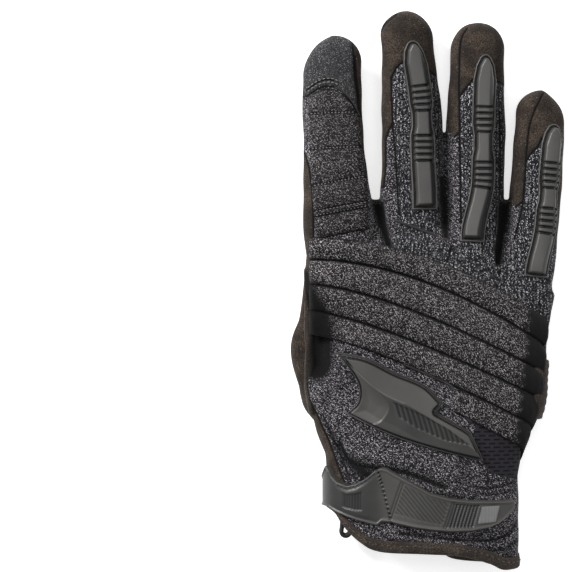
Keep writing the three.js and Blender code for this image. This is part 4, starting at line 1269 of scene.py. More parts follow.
def rib_profile(share):
    """The rise of a padded channel from seam to seam, fullest towards its upper seam."""
    centred = np.abs(2 * share**0.9 - 1)
    return (1 - centred**2.2) ** 0.62


def seam_y(order, x):
    """Where a seam of the ribs lies at x."""
    down, sweep, bow = RIB_SEAMS[order]
    share = np.clip((x - PANEL_LEFT) / (PANEL_RIGHT - PANEL_LEFT), 0, 1)
    return RIB_TOP - down * RIB_PITCH - sweep * RIB_SWEEP * share**bow


def build_ribs(side):
    """The padded ribs over the knuckles, drawn in where they pass the hand's outer edge."""
    cells, across = 6, 24
    weights = np.ones(2 * cells + 1) / (2 * cells + 1)
    reach = np.convolve(np.pad(silhouette(side)[1], cells, mode="edge"), weights, mode="valid")
    parts, weave, edge, plain = [], [], [], []
    for order in range(len(RIB_SEAMS) - 1):
        last = order == len(RIB_SEAMS) - 2
        start = lerp(PANEL_LEFT, PANEL_RIGHT, LAST_RIB_START) if last else PANEL_LEFT
        columns = np.arange(start, PANEL_RIGHT + 2.5, 0.55)
        share = 0.5 - 0.5 * np.cos(np.pi * np.linspace(0, 1, across))
        x, t = np.meshgrid(columns, share, indexing="ij")
        upper, lower = seam_y(order, x), seam_y(order + 1, x)
        y = lerp(lower, upper, t)
        wide = np.maximum(upper - lower, 0.1)
        turn = np.interp(y, GRID[1], reach) - 5.0
        beyond = np.maximum(x - turn, 0)
        x = np.where(beyond > 0, turn + 4.8 * (1 - np.exp(-beyond / 4.8)), x)
        ends = np.minimum(x - start, turn + 5.0 - x)
        close = np.clip(ends / 2.6, 0, 1) ** 0.5
        flat = np.clip(wide / (0.7 * RIB_PITCH), 0, 1)
        bend = 0.24 * np.sin(x * 0.9 + order * 2.1 + 2 * np.sin(x * 0.23 + order)) * rib_profile(t)
        grow = 0.1 + (RIB_HEIGHT * rib_profile(t) * flat + bend) * close
        points = side.place(x, y, grow)
        parts.append((points.reshape(-1, 3), grid_faces(len(columns), across)))
        weave.append(np.stack([x, t * wide, np.full(x.shape, order * 7.0)], -1).reshape(-1, 3))
        # Painted shade: the ribs' left ends darken towards the pocket by the thumb, more on the lower ribs.
        pocket = lerp(PANEL_LEFT - 3, PANEL_LEFT + 8.5, smooth(-y, 0.05 * PALM_LENGTH, 0.25 * PALM_LENGTH))
        lit = 0.04 + 1.6 * smooth(x, pocket - 3, pocket + 9)
        edge.append(np.minimum(np.minimum(t, 1 - t) * wide, lit).ravel())
        # Where the plain ends begin; their dark tone is partly painted shade on the turn over the edge.
        border = 0.379 * KNUCKLE_WIDTH + 0.11 * (y + 0.227 * PALM_LENGTH)
        plain.append(smooth(x - border + 0.7 * np.sin(1.3 * y), -1.8, 1.6).ravel())
    vertices, faces = joined(parts)
    attributes = dict(weave=np.vstack(weave), edge=np.concatenate(edge), plain=np.concatenate(plain))
    piece = mesh_object("knuckle_ribs", vertices, faces, RIBS, "knit", ["knuckle_pad"], attributes)
    mesh_object("rib_piping", *piping(side, catmull(RIB_PIPING, 90), 0.75, 0.45), PIPING, "knit")


# The padded strips of the index finger, by shares of its length, with the height of each
INDEX_STRIPS = [(0.035, 0.143, 1.7), (0.143, 0.168, 2.6), (0.168, 0.288, 1.5), (0.288, 0.452, 1.3),
                (0.452, 0.62, 1.1), (0.62, 0.735, 0.9)]
INDEX_ARC = np.array([(0.7, -0.8), *COVER_ARC, (0.67, 0.52), (0.6, 0.74)])


def index_seam(share, across):
    """Shares of half the lane and of the finger's length, along a seam from edge (-1) to edge (1)."""
    limit = np.interp(share, [0, 0.3, 0.45, 0.62, 0.735], [0.82, 0.82, 0.76, 0.66, 0.6])
    return lerp(-0.66, limit, (across + 1) / 2), share + 0.02 * (across + 0.2) * (share < 0.4)


def build_index_strips(side):
    """The padded strips across the index finger, the last one up to the cover's edge."""
    finger = FINGERS[0]
    columns, rows = 44, 22
    parts, weave, edge = [], [], []
    share = 0.5 - 0.5 * np.cos(np.pi * np.linspace(0, 1, rows))
    a, t = np.meshgrid(np.linspace(-1, 1, columns), share, indexing="ij")
    for order, (start, stop, rise) in enumerate(INDEX_STRIPS):
        side_share, _ = index_seam(lerp(start, stop, t), a)
        slope = 0.02 * (a + 0.2) * lerp(start < 0.4, stop < 0.4, t)
        top = np.full(a.shape, stop)
        if order == len(INDEX_STRIPS) - 1:
            top = np.interp(side_share, INDEX_ARC[:, 1], INDEX_ARC[:, 0]) - 0.012
            top = np.maximum(top, start + 0.012)
        along = (lerp(start, top, t) + slope) * finger["length"]
        x, y = in_plan(finger, along, side_share * finger["lane"] / 2)
        wide = (top - start) * finger["length"]
        close = (1 - np.abs(a) ** 6) ** 0.5
        bend = 0.12 * np.sin(x * 1.1 + order * 2.0) * rib_profile(t)
        grow = 0.1 + (rise * rib_profile(t) + bend) * close * np.clip(wide / 4, 0.3, 1)
        points = side.place(x, y, grow)
        parts.append((points.reshape(-1, 3), grid_faces(columns, rows)))
        weave.append(np.stack([x, y, np.full(x.shape, order * 5.0)], -1).reshape(-1, 3))
        edge.append((np.minimum(t, 1 - t) * wide + 0.15).ravel())
    vertices, faces = joined(parts)
    attributes = dict(weave=np.vstack(weave), edge=np.concatenate(edge), plain=np.full(len(vertices), 0.4))
    piece = mesh_object("index_ribs", vertices, faces, RIBS, "knit", ["index_pad"], attributes)


# Moulded guards: shares of the guard's length and of its half width
GUARD_SECTIONS = np.array([(0, 1), (0.44, 0.98), (0.49, 0.84), (0.57, 0.82), (0.62, 0.96), (0.86, 0.96),
                           (0.94, 0.76), (0.985, 0.45), (1, 0.16)])
GUARDS = [
    dict(name="middle_guard", finger=1, width=1, length=0.752, start=0.111, aside=0.121, root=0.035,
         tip=-0.06),
    dict(name="ring_guard", finger=2, width=0.95, length=0.842, start=0.01, aside=0.113, root=-0.187,
         tip=0.008),
    dict(name="little_guard", finger=3, width=0.91, length=0.89, start=-0.085, aside=0.209, root=-0.111,
         tip=0.026),
]
GROOVE_GROUPS = (0.31, 0.605)


def guard_line(guard, share, aside):
    """Points of the plan at shares of a guard's length, so far beside its axis."""
    finger = FINGERS[guard["finger"]]
    lane, length = finger["lane"], finger["length"]
    bend = guard["root"] * (1 - smooth(share, 0, 0.35)) + guard["tip"] * smooth(share, 0.6, 1)
    along = (guard["start"] + guard["length"] * share) * length
    return np.column_stack(in_plan(finger, along, (guard["aside"] + bend) * lane + aside))


def build_guard(guard, side):
    """A finger's guard: a raised body with two groups of grooves, and a sunk ring inside its flange."""
    length = guard["length"] * FINGERS[guard["finger"]]["length"]
    half = guard["width"] * GUARD_WIDTH / 2
    shares = np.concatenate([np.linspace(0, 0.9, 60), np.linspace(0.905, 1, 16)])
    wide = half * table_at(GUARD_SECTIONS, shares)[0]
    outline = np.vstack([guard_line(guard, shares, wide), guard_line(guard, shares, -wide)[::-1]])
    steps = 119
    axis = guard_line(guard, np.linspace(0, 1, steps + 1), 0)

    def relief(edge, x, y):
        nearest, ahead, aside = beside(axis, x, y)
        along = nearest / steps * length + ahead
        flange = 1.3 * smooth(edge, -0.1, 0.3)
        body = smooth(edge, 1.5, 2.0)
        grooves, barred = np.zeros(len(x)), np.zeros(len(x))
        for start in GROOVE_GROUPS:
            for order in range(-1, 4):
                at = start * length + order * GUARD_GROOVE_PITCH + 0.9 - along
                grooves = np.maximum(grooves, smooth(0.7 - np.abs(at), 0, 0.35))
            middle = start * length + GUARD_GROOVE_PITCH + 0.9 - along
            barred = np.maximum(barred, smooth(2 * GUARD_GROOVE_PITCH + 0.2 - np.abs(middle), 0, 0.6))
        inside = smooth(edge, 1.55, 1.95)
        ring = smooth(edge, 0.7, 0.9) * (1 - smooth(edge, 1.55, 1.85))
        crown = 0.3 * half
        left_side = 0.1 + 0.9 * np.clip((aside + half) / (crown + half), 0, 1) ** 0.7
        down = np.clip((aside - crown) / (half - crown), 0, 1)
        roof = np.where(aside < crown, left_side, 1 - lerp(2.1, 0.7, barred) * down)
        raised = 1.7 + (GUARD_HEIGHT - 3.3) * roof * smooth(edge, 1.6, 2.6)
        grow = flange + body * raised - 1.5 * grooves * inside - 0.95 * ring
        # Painted shade: the right facet, which faces away from the light, the grooves and the ring are
        # darkened through sunk.
        right = 0.68 * smooth(aside - crown, 0, 0.5) * body * (1 - 0.6 * barred)
        sunk = np.maximum(np.maximum(0.97 * grooves * inside, ring), np.maximum(right, 0.1 * body))
        # Painted highlights: the flange's rim, the ridge at the body's foot and the lit left facet.
        bright = 0.8 * hill(edge - 0.45, 0.28)
        ridge = hill(edge - 1.8, 0.25) * (1 - grooves)
        facet = 0.3 * smooth(crown - aside, 0, 0.3) * body * (1 - grooves)
        return grow, sunk, np.maximum(np.maximum(bright, 0.5 * ridge), facet)

    moulded(guard["name"] + "_moulded", outline, 0.26, relief, side, guard["name"])


# The plate by shares of its length and width: outline and its corners' numbers, crest, hollow, slotted field
PLATE_OUTLINE = [
    (0, 1), (0.206, 0.947), (0.402, 0.816), (0.598, 0.701), (0.734, 0.526), (0.68, 0.45), (0.856, 0.317),
    (0.915, 0.264), (1, 0), (0.726, 0.088), (0.467, 0.192), (0.272, 0.299), (0.071, 0.438), (0.145, 0.53),
    (0.16, 0.66), (0.12, 0.79),
]
PLATE_CORNERS = np.array([0, 4, 5, 7, 8, 12])
PLATE_RIDGE = [(0.03, 0.98), (0.28, 0.66), (0.5, 0.5), (0.72, 0.32), (0.97, 0.06)]
PLATE_LIP = [(0.06, 0.95), (0.3, 0.63), (0.36, 0.5), (0.31, 0.37), (0.24, 0.33)]
PLATE_HOLLOW = [(0.07, 0.438), (0.145, 0.53), (0.16, 0.66), (0.12, 0.79)]
PLATE_FIELD = [(0.38, 0.55), (0.55, 0.45), (0.75, 0.3), (0.9, 0.15), (0.74, 0.19), (0.55, 0.3), (0.41, 0.42)]


def plate_line(points):
    """Points of the plan from shares of the plate's length and width."""
    return np.array([PLATE_LEFT, PLATE_BOTTOM]) + np.array(points) * (PLATE_LENGTH, PLATE_WIDTH)


def smooth_runs(points, corners, count):
    """The closed outline with smooth curves between its corners."""
    total = len(points)
    parts = []
    for start, stop in zip(corners, np.append(corners[1:], corners[0] + total)):
        run = points[np.arange(start, stop + 1) % total]
        parts.append(catmull(run, count * (len(run) - 1) + 1)[:-1] if len(run) > 2 else run[:-1])
    return np.vstack(parts)


def build_plate(side):
    """The plate on the hand: two facets that meet in a crest, a hollow and a slotted field."""
    outline = smooth_runs(plate_line(PLATE_OUTLINE), PLATE_CORNERS, 6)
    ridge = catmull(plate_line(PLATE_RIDGE), 30)
    crescent = np.vstack([catmull(plate_line(PLATE_LIP), 24), plate_line(PLATE_HOLLOW)])
    field = plate_line(PLATE_FIELD)

    def relief(edge, x, y):
        flange = 1.3 * smooth(edge, -0.1, 0.25)
        over = -beside(ridge, x, y)[2]
        band = np.where(over > 0, 1.9, 1.15)
        body = smooth(edge, band - 0.15, band + 0.25)
        roof = np.where(over > 0, 1 - 0.055 * over, 1 + 0.085 * over)
        scooped, _ = outline_distance(crescent, x, y)
        bowl = smooth(scooped, 0, 0.4) * (0.25 + 0.75 * np.clip(scooped / 5, 0, 1) ** 0.7)
        raised = 1.0 + (PLATE_HEIGHT - 2.0) * np.clip(roof, 0.1, 1) - 1.35 * bowl
        inner, _ = outline_distance(field, x, y)
        panel = smooth(inner, -0.1, 0.3)
        bars = stripes(x * 0.95 + y * 0.3, 1.9, -0.2, 0.5)
        grow = flange + body * raised - panel * (0.65 - 0.4 * bars)
        ring = np.maximum(hill(edge - band + 0.2, 0.33), hill(edge - 0.75, 0.24))
        grow -= 0.6 * ring
        pips = stripes(x + 0.6 * y, 1.7, 0.0, 0.6) * hill(edge - 1.28, 0.28) * (over > 1)
        grow += 0.3 * pips
        # Painted highlights: the crest, the lit facet, the rim, the hollow and the pips.
        crest = hill(line_distance(ridge[:14], x, y), 0.35) * body * (1 - panel)
        facet = 0.3 * body * (over > 0) * (1 - panel)
        rim = 0.5 * hill(edge - 0.4, 0.22)
        painted_highlight_and_pale_marks = np.clip(0.8 * crest + rim + 0.55 * bowl * body + 0.3 * pips + facet, 0, 1)
        # Darkened through sunk: painted shade in the ring grooves and the field's slots.
        return grow, np.clip(1.2 * ring + 0.85 * panel * (1 - bars), 0, 1), painted_highlight_and_pale_marks

    moulded("hand_shield", outline, 0.3, relief, side, "hand_plate")


# The strap, in columns round the wrist

def wrist_point(y, angle, grow):
    """A point over the wrist's skin, at an angle round it."""
    along = (y + PALM_LENGTH) / PALM_LENGTH
    half_width, middle, depth = section_sizes(along)
    cos, sin = np.cos(angle), np.sin(angle)
    across = np.sign(cos) * np.abs(cos) ** 0.8
    up = np.sign(sin) * np.abs(sin) ** 0.8
    x = middle + (half_width + grow) * across
    z = np.maximum(midline(x, y) + (pressed(depth, x, y) / 2 + grow) * up, np.maximum(-grow, THUMB_BOTTOM))
    return np.stack([x, y + 0 * x, z], -1)


STRAP_MIDDLE = -0.812 * PALM_LENGTH
# The strap's edges: place across the wrist, and both edges' heights in strap widths
STRAP_BACK = np.array([
    (-0.1, 0.6, 0.08), (-0.025, 0.72, -0.01), (-0.01, 0.92, -0.02), (0.008, 1.07, -0.03),
    (0.022, 0.96, -0.06), (0.032, 0.82, -0.1), (0.0625, 0.66, -0.18), (0.112, 0.57, -0.28),
    (0.159, 0.63, -0.36), (0.206, 0.77, -0.42), (0.253, 0.97, -0.48), (0.262, 1.0, -0.49),
    (0.286, 1.03, -0.38), (0.311, 1.0, -0.39), (0.3475, 0.89, -0.42), (0.4417, 0.64, -0.53),
    (0.536, 0.38, -0.6), (0.6326, 0.25, -0.64), (0.74, 0.19, -0.63), (0.84, 0.18, -0.54),
    (0.9, 0.18, -0.39), (0.95, 0.19, -0.14), (0.978, 0.19, 0.12),
])
STRAP_PALM = np.array([(-0.1, 0.66, 0.08), (0, 0.72, -0.06), (0.5, 0.76, -0.06), (0.61, 0.76, 0.6)])


# Fields of the strap's back: their ends across the wrist and by shares of the strap's width
HATCH_FIELD = (0.09, 0.19, 0.28, 0.72)
SLANT_FIELD = (0.375, 0.61, 0.2, 0.84)
RIBBED_FIELD = (0.636, 0.768, 0.15, 0.85)
LINED_FIELD = (0.3, 0.7, 0.1, 0.9)
STRAP_LINES = (0.353, 0.366, 0.622, 0.633)


def strap_limits(across, above):
    """The strap's upper and lower edge, on a scale from the palm's side (0) to the back's (1)."""
    back, palm = table_at(STRAP_BACK, across), table_at(STRAP_PALM, across)
    return [STRAP_MIDDLE + STRAP_WIDTH * lerp(p, b, above) for p, b in zip(palm, back)]


def build_strap():
    """The strap with its stitches, cross seam, hatching and ribbed fields."""
    angles = np.linspace(0.02, 2 * np.pi - 0.02, 4000)
    across = across_of(wrist_point(STRAP_MIDDLE, angles, 1.5)[:, 0])
    back_end = angles[(angles < np.pi) & (across < 0.975)][0]
    palm_end = angles[(angles > np.pi) & (across < 0.61)][-1]
    run = np.linspace(back_end, palm_end, 3000)
    lengths = lengths_along(wrist_point(STRAP_MIDDLE, run, 1.5))
    columns, rows = int(lengths[-1] / 0.32), 60
    from_end = np.linspace(0, lengths[-1], columns)
    a, t = np.meshgrid(np.interp(from_end, lengths, run), np.linspace(0, 1, rows), indexing="ij")
    length_at = np.repeat(from_end[:, None], rows, 1)
    x = wrist_point(STRAP_MIDDLE, a, 1.0)[..., 0]
    acrossed = across_of(x)
    upper, lower = strap_limits(acrossed, smooth(np.sin(a), -0.35, 0.35))
    y = lerp(lower, upper, t)
    wide = upper - lower
    edge = np.minimum(np.minimum(t, 1 - t) * wide, length_at * 0.8)
    edge = np.minimum(edge, lengths[-1] - length_at)
    on_back = smooth(np.sin(a), -0.1, 0.1)
    grow = 0.15 + (STRAP_THICKNESS - 0.6) * smooth(edge, -0.1, 0.8)
    rim = hill(edge - 1.1, 0.55)
    grow += 0.45 * rim
    dash = stripes(length_at, 1.8, -0.1, 0.5)
    stitched = hill((1 - t) * wide - 1.9, 0.35) * on_back * smooth(acrossed, 0.3, 0.26)
    # Darkened through sunk: painted shade in the gaps between the stitch dashes, and below in the seam's
    # holes, the hatching, slots, lines and ribbed bars.
    sunk = 0.9 * stitched * (1 - dash)
    grow += 0.2 * stitched * dash
    # Painted highlights on the rim and on the raised stitch dashes.
    painted_highlight_and_pale_marks = 0.35 * rim + 0.5 * stitched * dash
    seam = lerp(0.262, 0.335, 1 - t)  # slants across the strap
    gap = hill((acrossed - seam) * WRIST_WIDTH, 0.5) * on_back * stripes(t * wide, 1.9, -0.7, 0.1)
    grow -= 0.9 * gap
    sunk = np.maximum(sunk, gap)
    grow += 0.7 * hill(acrossed - 0.15, 0.09) * on_back * smooth(edge, 1, 4)

    def block(field, lean=0):
        """1 inside a field of the strap's back."""
        low_x, high_x, low_t, high_t = field
        inside = np.minimum(acrossed - (low_x + lean), high_x + lean - acrossed) * WRIST_WIDTH
        inside = np.minimum(inside, np.minimum(t - low_t, high_t - t) * wide)
        return smooth(inside, -0.1, 0.35) * on_back

    hatch = block(HATCH_FIELD)
    waves = stripes(x, 1.15, -0.2, 0.5)
    grow -= hatch * (0.3 + 0.3 * waves)
    sunk = np.maximum(sunk, hatch * (0.55 + 0.35 * waves))
    lean = (t - 0.5) * wide * 0.3 / WRIST_WIDTH
    field = block(SLANT_FIELD, lean)
    slant = stripes(x + 0.8 * y, 1.9, -0.1, 0.4)
    grow -= field * 0.3 * slant
    sunk = np.maximum(sunk, 0.4 * field * slant)
    for at in STRAP_LINES:
        line = hill((acrossed - at - lean) * WRIST_WIDTH, 0.3) * block(LINED_FIELD)
        grow -= 0.35 * line
        sunk = np.maximum(sunk, 0.8 * line)
    ribs = block(RIBBED_FIELD, lean)
    bars = stripes((acrossed - lean) * WRIST_WIDTH, 1.55, -0.3, 0.3)
    grow -= ribs * (0.2 + 0.55 * bars)
    sunk = np.maximum(sunk, ribs * (0.35 + 0.55 * bars))
    # Darker a little all over, and more towards the thumb-side end.
    sunk = np.maximum(sunk, 0.05 + 0.25 * smooth(0.3 - acrossed, 0, 0.08))
    painted_highlight_and_pale_marks = painted_highlight_and_pale_marks + 0.2 * smooth(acrossed - 0.25, 0, 0.06) + 0.15 * hill(acrossed - 0.36, 0.07)

    top = wrist_point(y, a, grow).reshape(-1, 3)
    loop = np.concatenate([
        np.arange(rows), np.arange(1, columns) * rows + rows - 1,
        (columns - 1) * rows + np.arange(rows - 2, -1, -1), np.arange(columns - 2, 0, -1) * rows,
    ])
    low = wrist_point(y, a, 0.1).reshape(-1, 3)[loop]
    place = np.arange(len(loop))
    after = np.roll(place, -1)
    wall = np.column_stack([loop, loop[after], len(top) + after, len(top) + place])
    faces = np.vstack([grid_faces(columns, rows)[:, ::-1], wall])
    zeros = np.zeros(len(loop))
    attributes = dict(sunk=np.concatenate([sunk.ravel(), zeros]), painted_highlight_and_pale_marks=np.concatenate([painted_highlight_and_pale_marks.ravel(), zeros]))
    mesh_object("wrist_strap", np.vstack([top, low]), faces, RUBBER, "rubber", ["closure_strap"], attributes)


def build_hem():
    """The bound edge of the cuff, all round the wrist's mouth."""
    columns = 420
    angle = np.linspace(0, 2 * np.pi, columns, endpoint=False)
    base = wrist_point(-PALM_LENGTH + 8, angle, 0.0)
    above = smooth(base[:, 2] - midline(base[:, 0], base[:, 1]), -1.5, 1.5)
    y = hem_y(base[:, 0], above)
    profile = [(4.4, 0.0), (4.3, 0.55), (3.0, 0.75), (1.2, 0.85), (-0.2, 0.7), (-1.0, 0.0), (-1.2, -1.0),
               (-0.8, -2.0), (0.5, -2.7), (3.5, -2.6)]
    rings = [wrist_point(y + forward, angle, grow) for forward, grow in profile]
    vertices = np.stack(rings, 1).reshape(-1, 3)
    edge = np.tile([0.0, 0.5] + [2] * (len(profile) - 2), columns)
    faces = ring_faces(columns, len(profile))
    mesh_object("hem_binding", vertices, faces, SUEDE, "suede", (), dict(edge=edge))
    threads = []
    fine = np.linspace(0, 2 * np.pi, 2400)
    level = wrist_point(np.interp(fine, np.append(angle, 2 * np.pi), np.append(y, y[0])) + 2.2, fine, 0.85)
    outer = wrist_point(level[:, 1], fine, 2.0)
    spans = lengths_along(level)
    pitch, length, spare = 2.8, 1.5, 2
    for start in np.arange(0, spans[-1] - spare, pitch):
        at = start + length * STITCH_POINTS
        points, up = (
            np.column_stack([np.interp(at, spans, values[:, i]) for i in range(3)])
            for values in (level, outer - level)
        )
        threads.append(thread(points, up, 0.24, 0.3))
    mesh_object("hem_stitches", *joined(threads), THREAD, "suede")


def strap_point(across, level, grow):
    """A point over the strap's back, from its place across the wrist and its height in strap widths."""
    angles = np.linspace(0.3, np.pi - 0.3, 1200)
    y = STRAP_MIDDLE + STRAP_WIDTH * np.asarray(level, float)
    ring = wrist_point(STRAP_MIDDLE, angles, 1.0)
    angle = np.interp(across, across_of(ring[::-1, 0]), angles[::-1])
    return wrist_point(y, angle, grow)


def build_reflector():
    """A slanted strip of film on the strap's end."""
    steps = 16
    u, v = np.meshgrid(np.linspace(0, 1, steps), np.linspace(0, 1, steps), indexing="ij")
    lean = 0.022 * (v - 0.5)
    across = lerp(0.777, 0.872, u) + lean
    level = lerp(lerp(-0.42, -0.38, u), lerp(0.03, 0.05, u), v)
    edge = np.minimum(np.minimum(u, 1 - u) * 6.5, np.minimum(v, 1 - v) * 8)
    points = strap_point(across, level, STRAP_THICKNESS + 0.15 * smooth(edge, 0, 0.5))
    faces = grid_faces(steps, steps)[:, ::-1]
    mesh_object("reflective_film", points.reshape(-1, 3), faces, FILM, "reflector", ["strap_reflector"],
                dict(edge=edge.ravel()))


def ribbon(path, low, high, thickness):
    """A closed band that runs along a path in plan and stands upright between two heights."""
    path = np.asarray(path, float)
    ahead = unit(np.roll(path, -1, axis=0) - np.roll(path, 1, axis=0))
    out = np.column_stack([ahead[:, 1], -ahead[:, 0]])
    profile = [(-0.5, 0.08), (-0.5, 0.92), (-0.3, 1), (0.3, 1), (0.5, 0.92), (0.5, 0.08), (0.3, 0),
               (-0.3, 0)]
    rings = []
    for aside, up in profile:
        plan = path + out * aside * thickness
        rings.append(np.column_stack([plan, np.full(len(path), lerp(low, high, up))]))
    return np.stack(rings, 1).reshape(-1, 3), ring_faces(len(path), len(profile), wrap=True)


def build_loop():
    """The webbing loop at the cuff's thumb side."""
    low, high = (np.array(corner) * 1000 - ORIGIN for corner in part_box("pull_loop"))
    middle = (low[0] + high[0]) / 2
    round_at, radius = low[1] + 2.6, 1.95
    turn = np.radians(np.linspace(-205, 25, 26))
    arc = np.column_stack([middle + radius * np.cos(turn), round_at + radius * np.sin(turn)])
    rise = np.linspace(0, 1, 14)[1:]
    right = np.column_stack([lerp(arc[-1, 0], middle + 0.65, rise), lerp(arc[-1, 1], high[1], rise)])
    left = np.column_stack([lerp(middle - 0.65, arc[0, 0], rise[:-1]), lerp(high[1], arc[0, 1], rise[:-1])])
    path = np.vstack([arc, right, left])
    mesh_object("webbing_loop", *ribbon(path, low[2], high[2], 1.9), WEBBING, "webbing", ["pull_loop"])


def sewn_on(name, outline, cell, height, side, paint, slot, node):
    """A layer of cloth or leather, darker along its edge."""
    vertices, faces, edge = patch(outline, cell, height, side)
    return mesh_object(name, vertices, faces, paint, slot, [node], dict(edge=edge + EDGE_START))


def layer(name, outline, side, thickness, paint, slot, node, inset, crown=0.0):
    """A sewn-on layer with rounded edges, and a groove along its stitches."""

    def height(edge, x, y):
        grow = 0.2 + (thickness - 0.2) * smooth(edge, -0.15, 0.7)
        grow += crown * (1 - np.exp(-np.maximum(edge, 0) / 4))
        grow += 0.12 * np.sin(x * 0.5 + 1.1 * np.sin(y * 0.3)) * np.sin(y * 0.41) * smooth(edge, 1, 3)
        return grow - 0.35 * hill(edge - inset, 0.5)

    return sewn_on(name, outline, 0.5, height, side, paint, slot, node)


def inset_line(outline, distance):
    """The outline moved inwards, as a closed line."""
    dense = resampled(np.vstack([outline, outline[:1]]), 0.8)[:-1]
    ahead = unit(np.roll(dense, -2, axis=0) - np.roll(dense, 2, axis=0))
    area = np.sum(dense[:, 0] * np.roll(dense[:, 1], -1) - np.roll(dense[:, 0], -1) * dense[:, 1])
    inward = np.column_stack([-ahead[:, 1], ahead[:, 0]]) * np.sign(area)
    moved = dense + inward * distance
    edge, _ = outline_distance(dense, moved[:, 0], moved[:, 1])
    return moved[edge > 0.85 * distance]


# Layers of the palm: the first two by shares across the knuckles and of a height, the fingertips' by shares
# of the finger's length and of half its width
HEEL_PAD = [(0.97, 0.62), (0.99, 0.3), (0.95, 0.12), (0.86, 0.04), (0.52, 0.03), (0.46, 0.16), (0.46, 0.35),
            (0.5, 0.5), (0.66, 0.72), (0.8, 0.97), (0.9, 0.99)]
PALM_OVERLAY = [(0.93, 0.64), (0.74, 0.67), (0.66, 0.56), (0.58, 0.54), (0.5, 0.66), (0.5, 0.85),
                (0.62, 0.875), (0.93, 0.87)]
TIP_PAD = [(0.56, -1), (0.53, -0.5), (0.52, 0), (0.53, 0.5), (0.56, 1), (0.9, 1), (0.945, 0.75),
           (0.965, 0.3), (0.965, -0.3), (0.945, -0.75), (0.9, -1)]
# Sewn lines over the palm, in millimetres of the plan
PALM_LINES = [
    [(52, -38), (39, -39), (28, -41), (20, -47), (13, -53), (9, -57), (5, -57.5), (0, -51), (-8, -40),
     (-17, -30), (-23, -22.5), (-25.5, -18.5), (-24, -15.5), (-4, -15.3), (22, -16.7), (37, -19)],
    [(39, -13), (31, -10.4), (13, -6.8), (-4, -4.5), (-17, -4.5), (-28, -5.4)],
    [(14, -98), (-2, -96), (-8, -91), (-10, -81), (-8, -73), (-4, -66.6), (-10, -56), (-21, -42),
     (-31, -30)],
    [(54, 15), (44, 15.8), (42, 7), (36.7, 2.7), (30.7, 4), (27.4, 8), (26.5, 23.4), (16.6, 25.7),
     (13.3, 17.6), (6.3, 12.6), (1.2, 15), (-2, 27.5), (-12.4, 29.3), (-16, 16.7), (-23, 12.6), (-29, 14),
     (-32.5, 27.5), (-54, 27.5)],
]


def kept_inside(side, outline, margin):
    """The outline, drawn in where it would pass the glove's own silhouette."""
    x, y = outline.T
    left, right = (np.interp(y, GRID[1], limit) for limit in silhouette(side))
    return np.column_stack([np.clip(x, left + margin, right - margin), y])


def build_palm_layers(side):
    """The padding, patches and sewn lines of the palm's side."""
    heel = np.array(HEEL_PAD)
    heel = np.column_stack([KNUCKLE_WIDTH * (heel[:, 0] - 0.5) - 1, -0.7 * PALM_LENGTH + 44 * heel[:, 1]])
    heel = kept_inside(side, closed_curve(heel, 90), 3.0)
    pad = layer("heel_cushion", heel, side, 1.5, GRIP, "grip", "heel_pad", inset=2.2, crown=0.35)
    overlay = np.array(PALM_OVERLAY)
    across, up = overlay.T
    overlay = np.column_stack([KNUCKLE_WIDTH * (across - 0.5) - 1, -PALM_LENGTH * (1 - up)])
    overlay = kept_inside(side, closed_curve(overlay, 80), 2.0)
    layer("palm_patch", overlay, side, 1.5, SUEDE, "suede", "palm_overlay", inset=1.8)
    threads = [stitches(side, inset_line(heel, d), 2.2, 1.4, 0.25, 1.5) for d in (1.4, 3.0)]
    threads += [stitches(side, inset_line(overlay, d), 2.2, 1.4, 0.25, 1.4) for d in (1.2, 2.6)]
    for finger in FINGERS[:3]:
        tip = np.array(TIP_PAD) * (finger["length"], 0.33 * finger["end"])
        outline = closed_curve(np.column_stack(in_plan(finger, *tip.T)), 60)
        name = finger["name"] + "_tip_patch"
        layer(name, outline, side, 1.2, GRIP, "grip", finger["name"] + "_tip_pad", inset=1.6)
        threads += [stitches(side, inset_line(outline, d), 2.0, 1.3, 0.22, 1.2) for d in (1.2, 2.3)]
    for line in PALM_LINES:
        curve = catmull(line, 12 * len(line))
        covered = np.maximum(*(outline_distance(outline, *curve.T)[0] for outline in (heel, overlay)))
        runs = np.split(np.arange(len(curve)), np.where(np.diff((covered > -0.8).astype(int)) != 0)[0] + 1)
        for run in runs:
            if len(run) > 4 and covered[run[0]] <= -0.8:
                threads.append(stitches(side, curve[run], 2.2, 1.4, 0.24, 0.18))
    mesh_object("palm_stitches", *joined(threads), THREAD, "suede")


def build_tab(side):
    """The folded tab on the little-finger edge of the hand."""
    low, high = -0.545 * PALM_LENGTH, -0.36 * PALM_LENGTH
    outline = [(low, 6.5), (low + 0.5, 19.5), (low + 8, 20.5), (high - 1, 20.8), (high, 18), (high, 8),
               (high - 8, 6)]

    def height(edge, y, z):
        ridges = 0.25 * np.sin((y - low) * 2 * np.pi / 3.2 + 0.8 * z) * smooth(edge, 0.4, 1.2)
        return 0.3 + 1.3 * smooth(edge, -0.1, 0.6) + ridges * 0.5 + 0.9 * smooth(high - y, 8, 20)

    sewn_on("edge_tab", outline, 0.5, height, side, SUEDE, "suede", "side_tab")


def build_gusset(side):
    """The strip of suede that joins the thumb to the side of the hand."""
    low, high = -0.53 * PALM_LENGTH, -0.13 * PALM_LENGTH
    outline = [(low, 13), (low, 19), (low + 14, 20.5), (high - 18, 21), (high, 19.5), (high, 14),
               (low + 20, 12)]

    def height(edge, y, z):
        puff = np.sin(np.pi * np.clip((y - low) / (high - low), 0, 1)) ** 2
        return 0.3 + 1.0 * smooth(edge, -0.1, 0.7) + 0.8 * puff * smooth(edge, 0, 3)

    sewn_on("thumb_strip", outline, 0.6, height, side, SUEDE, "suede", "thumb_gusset")


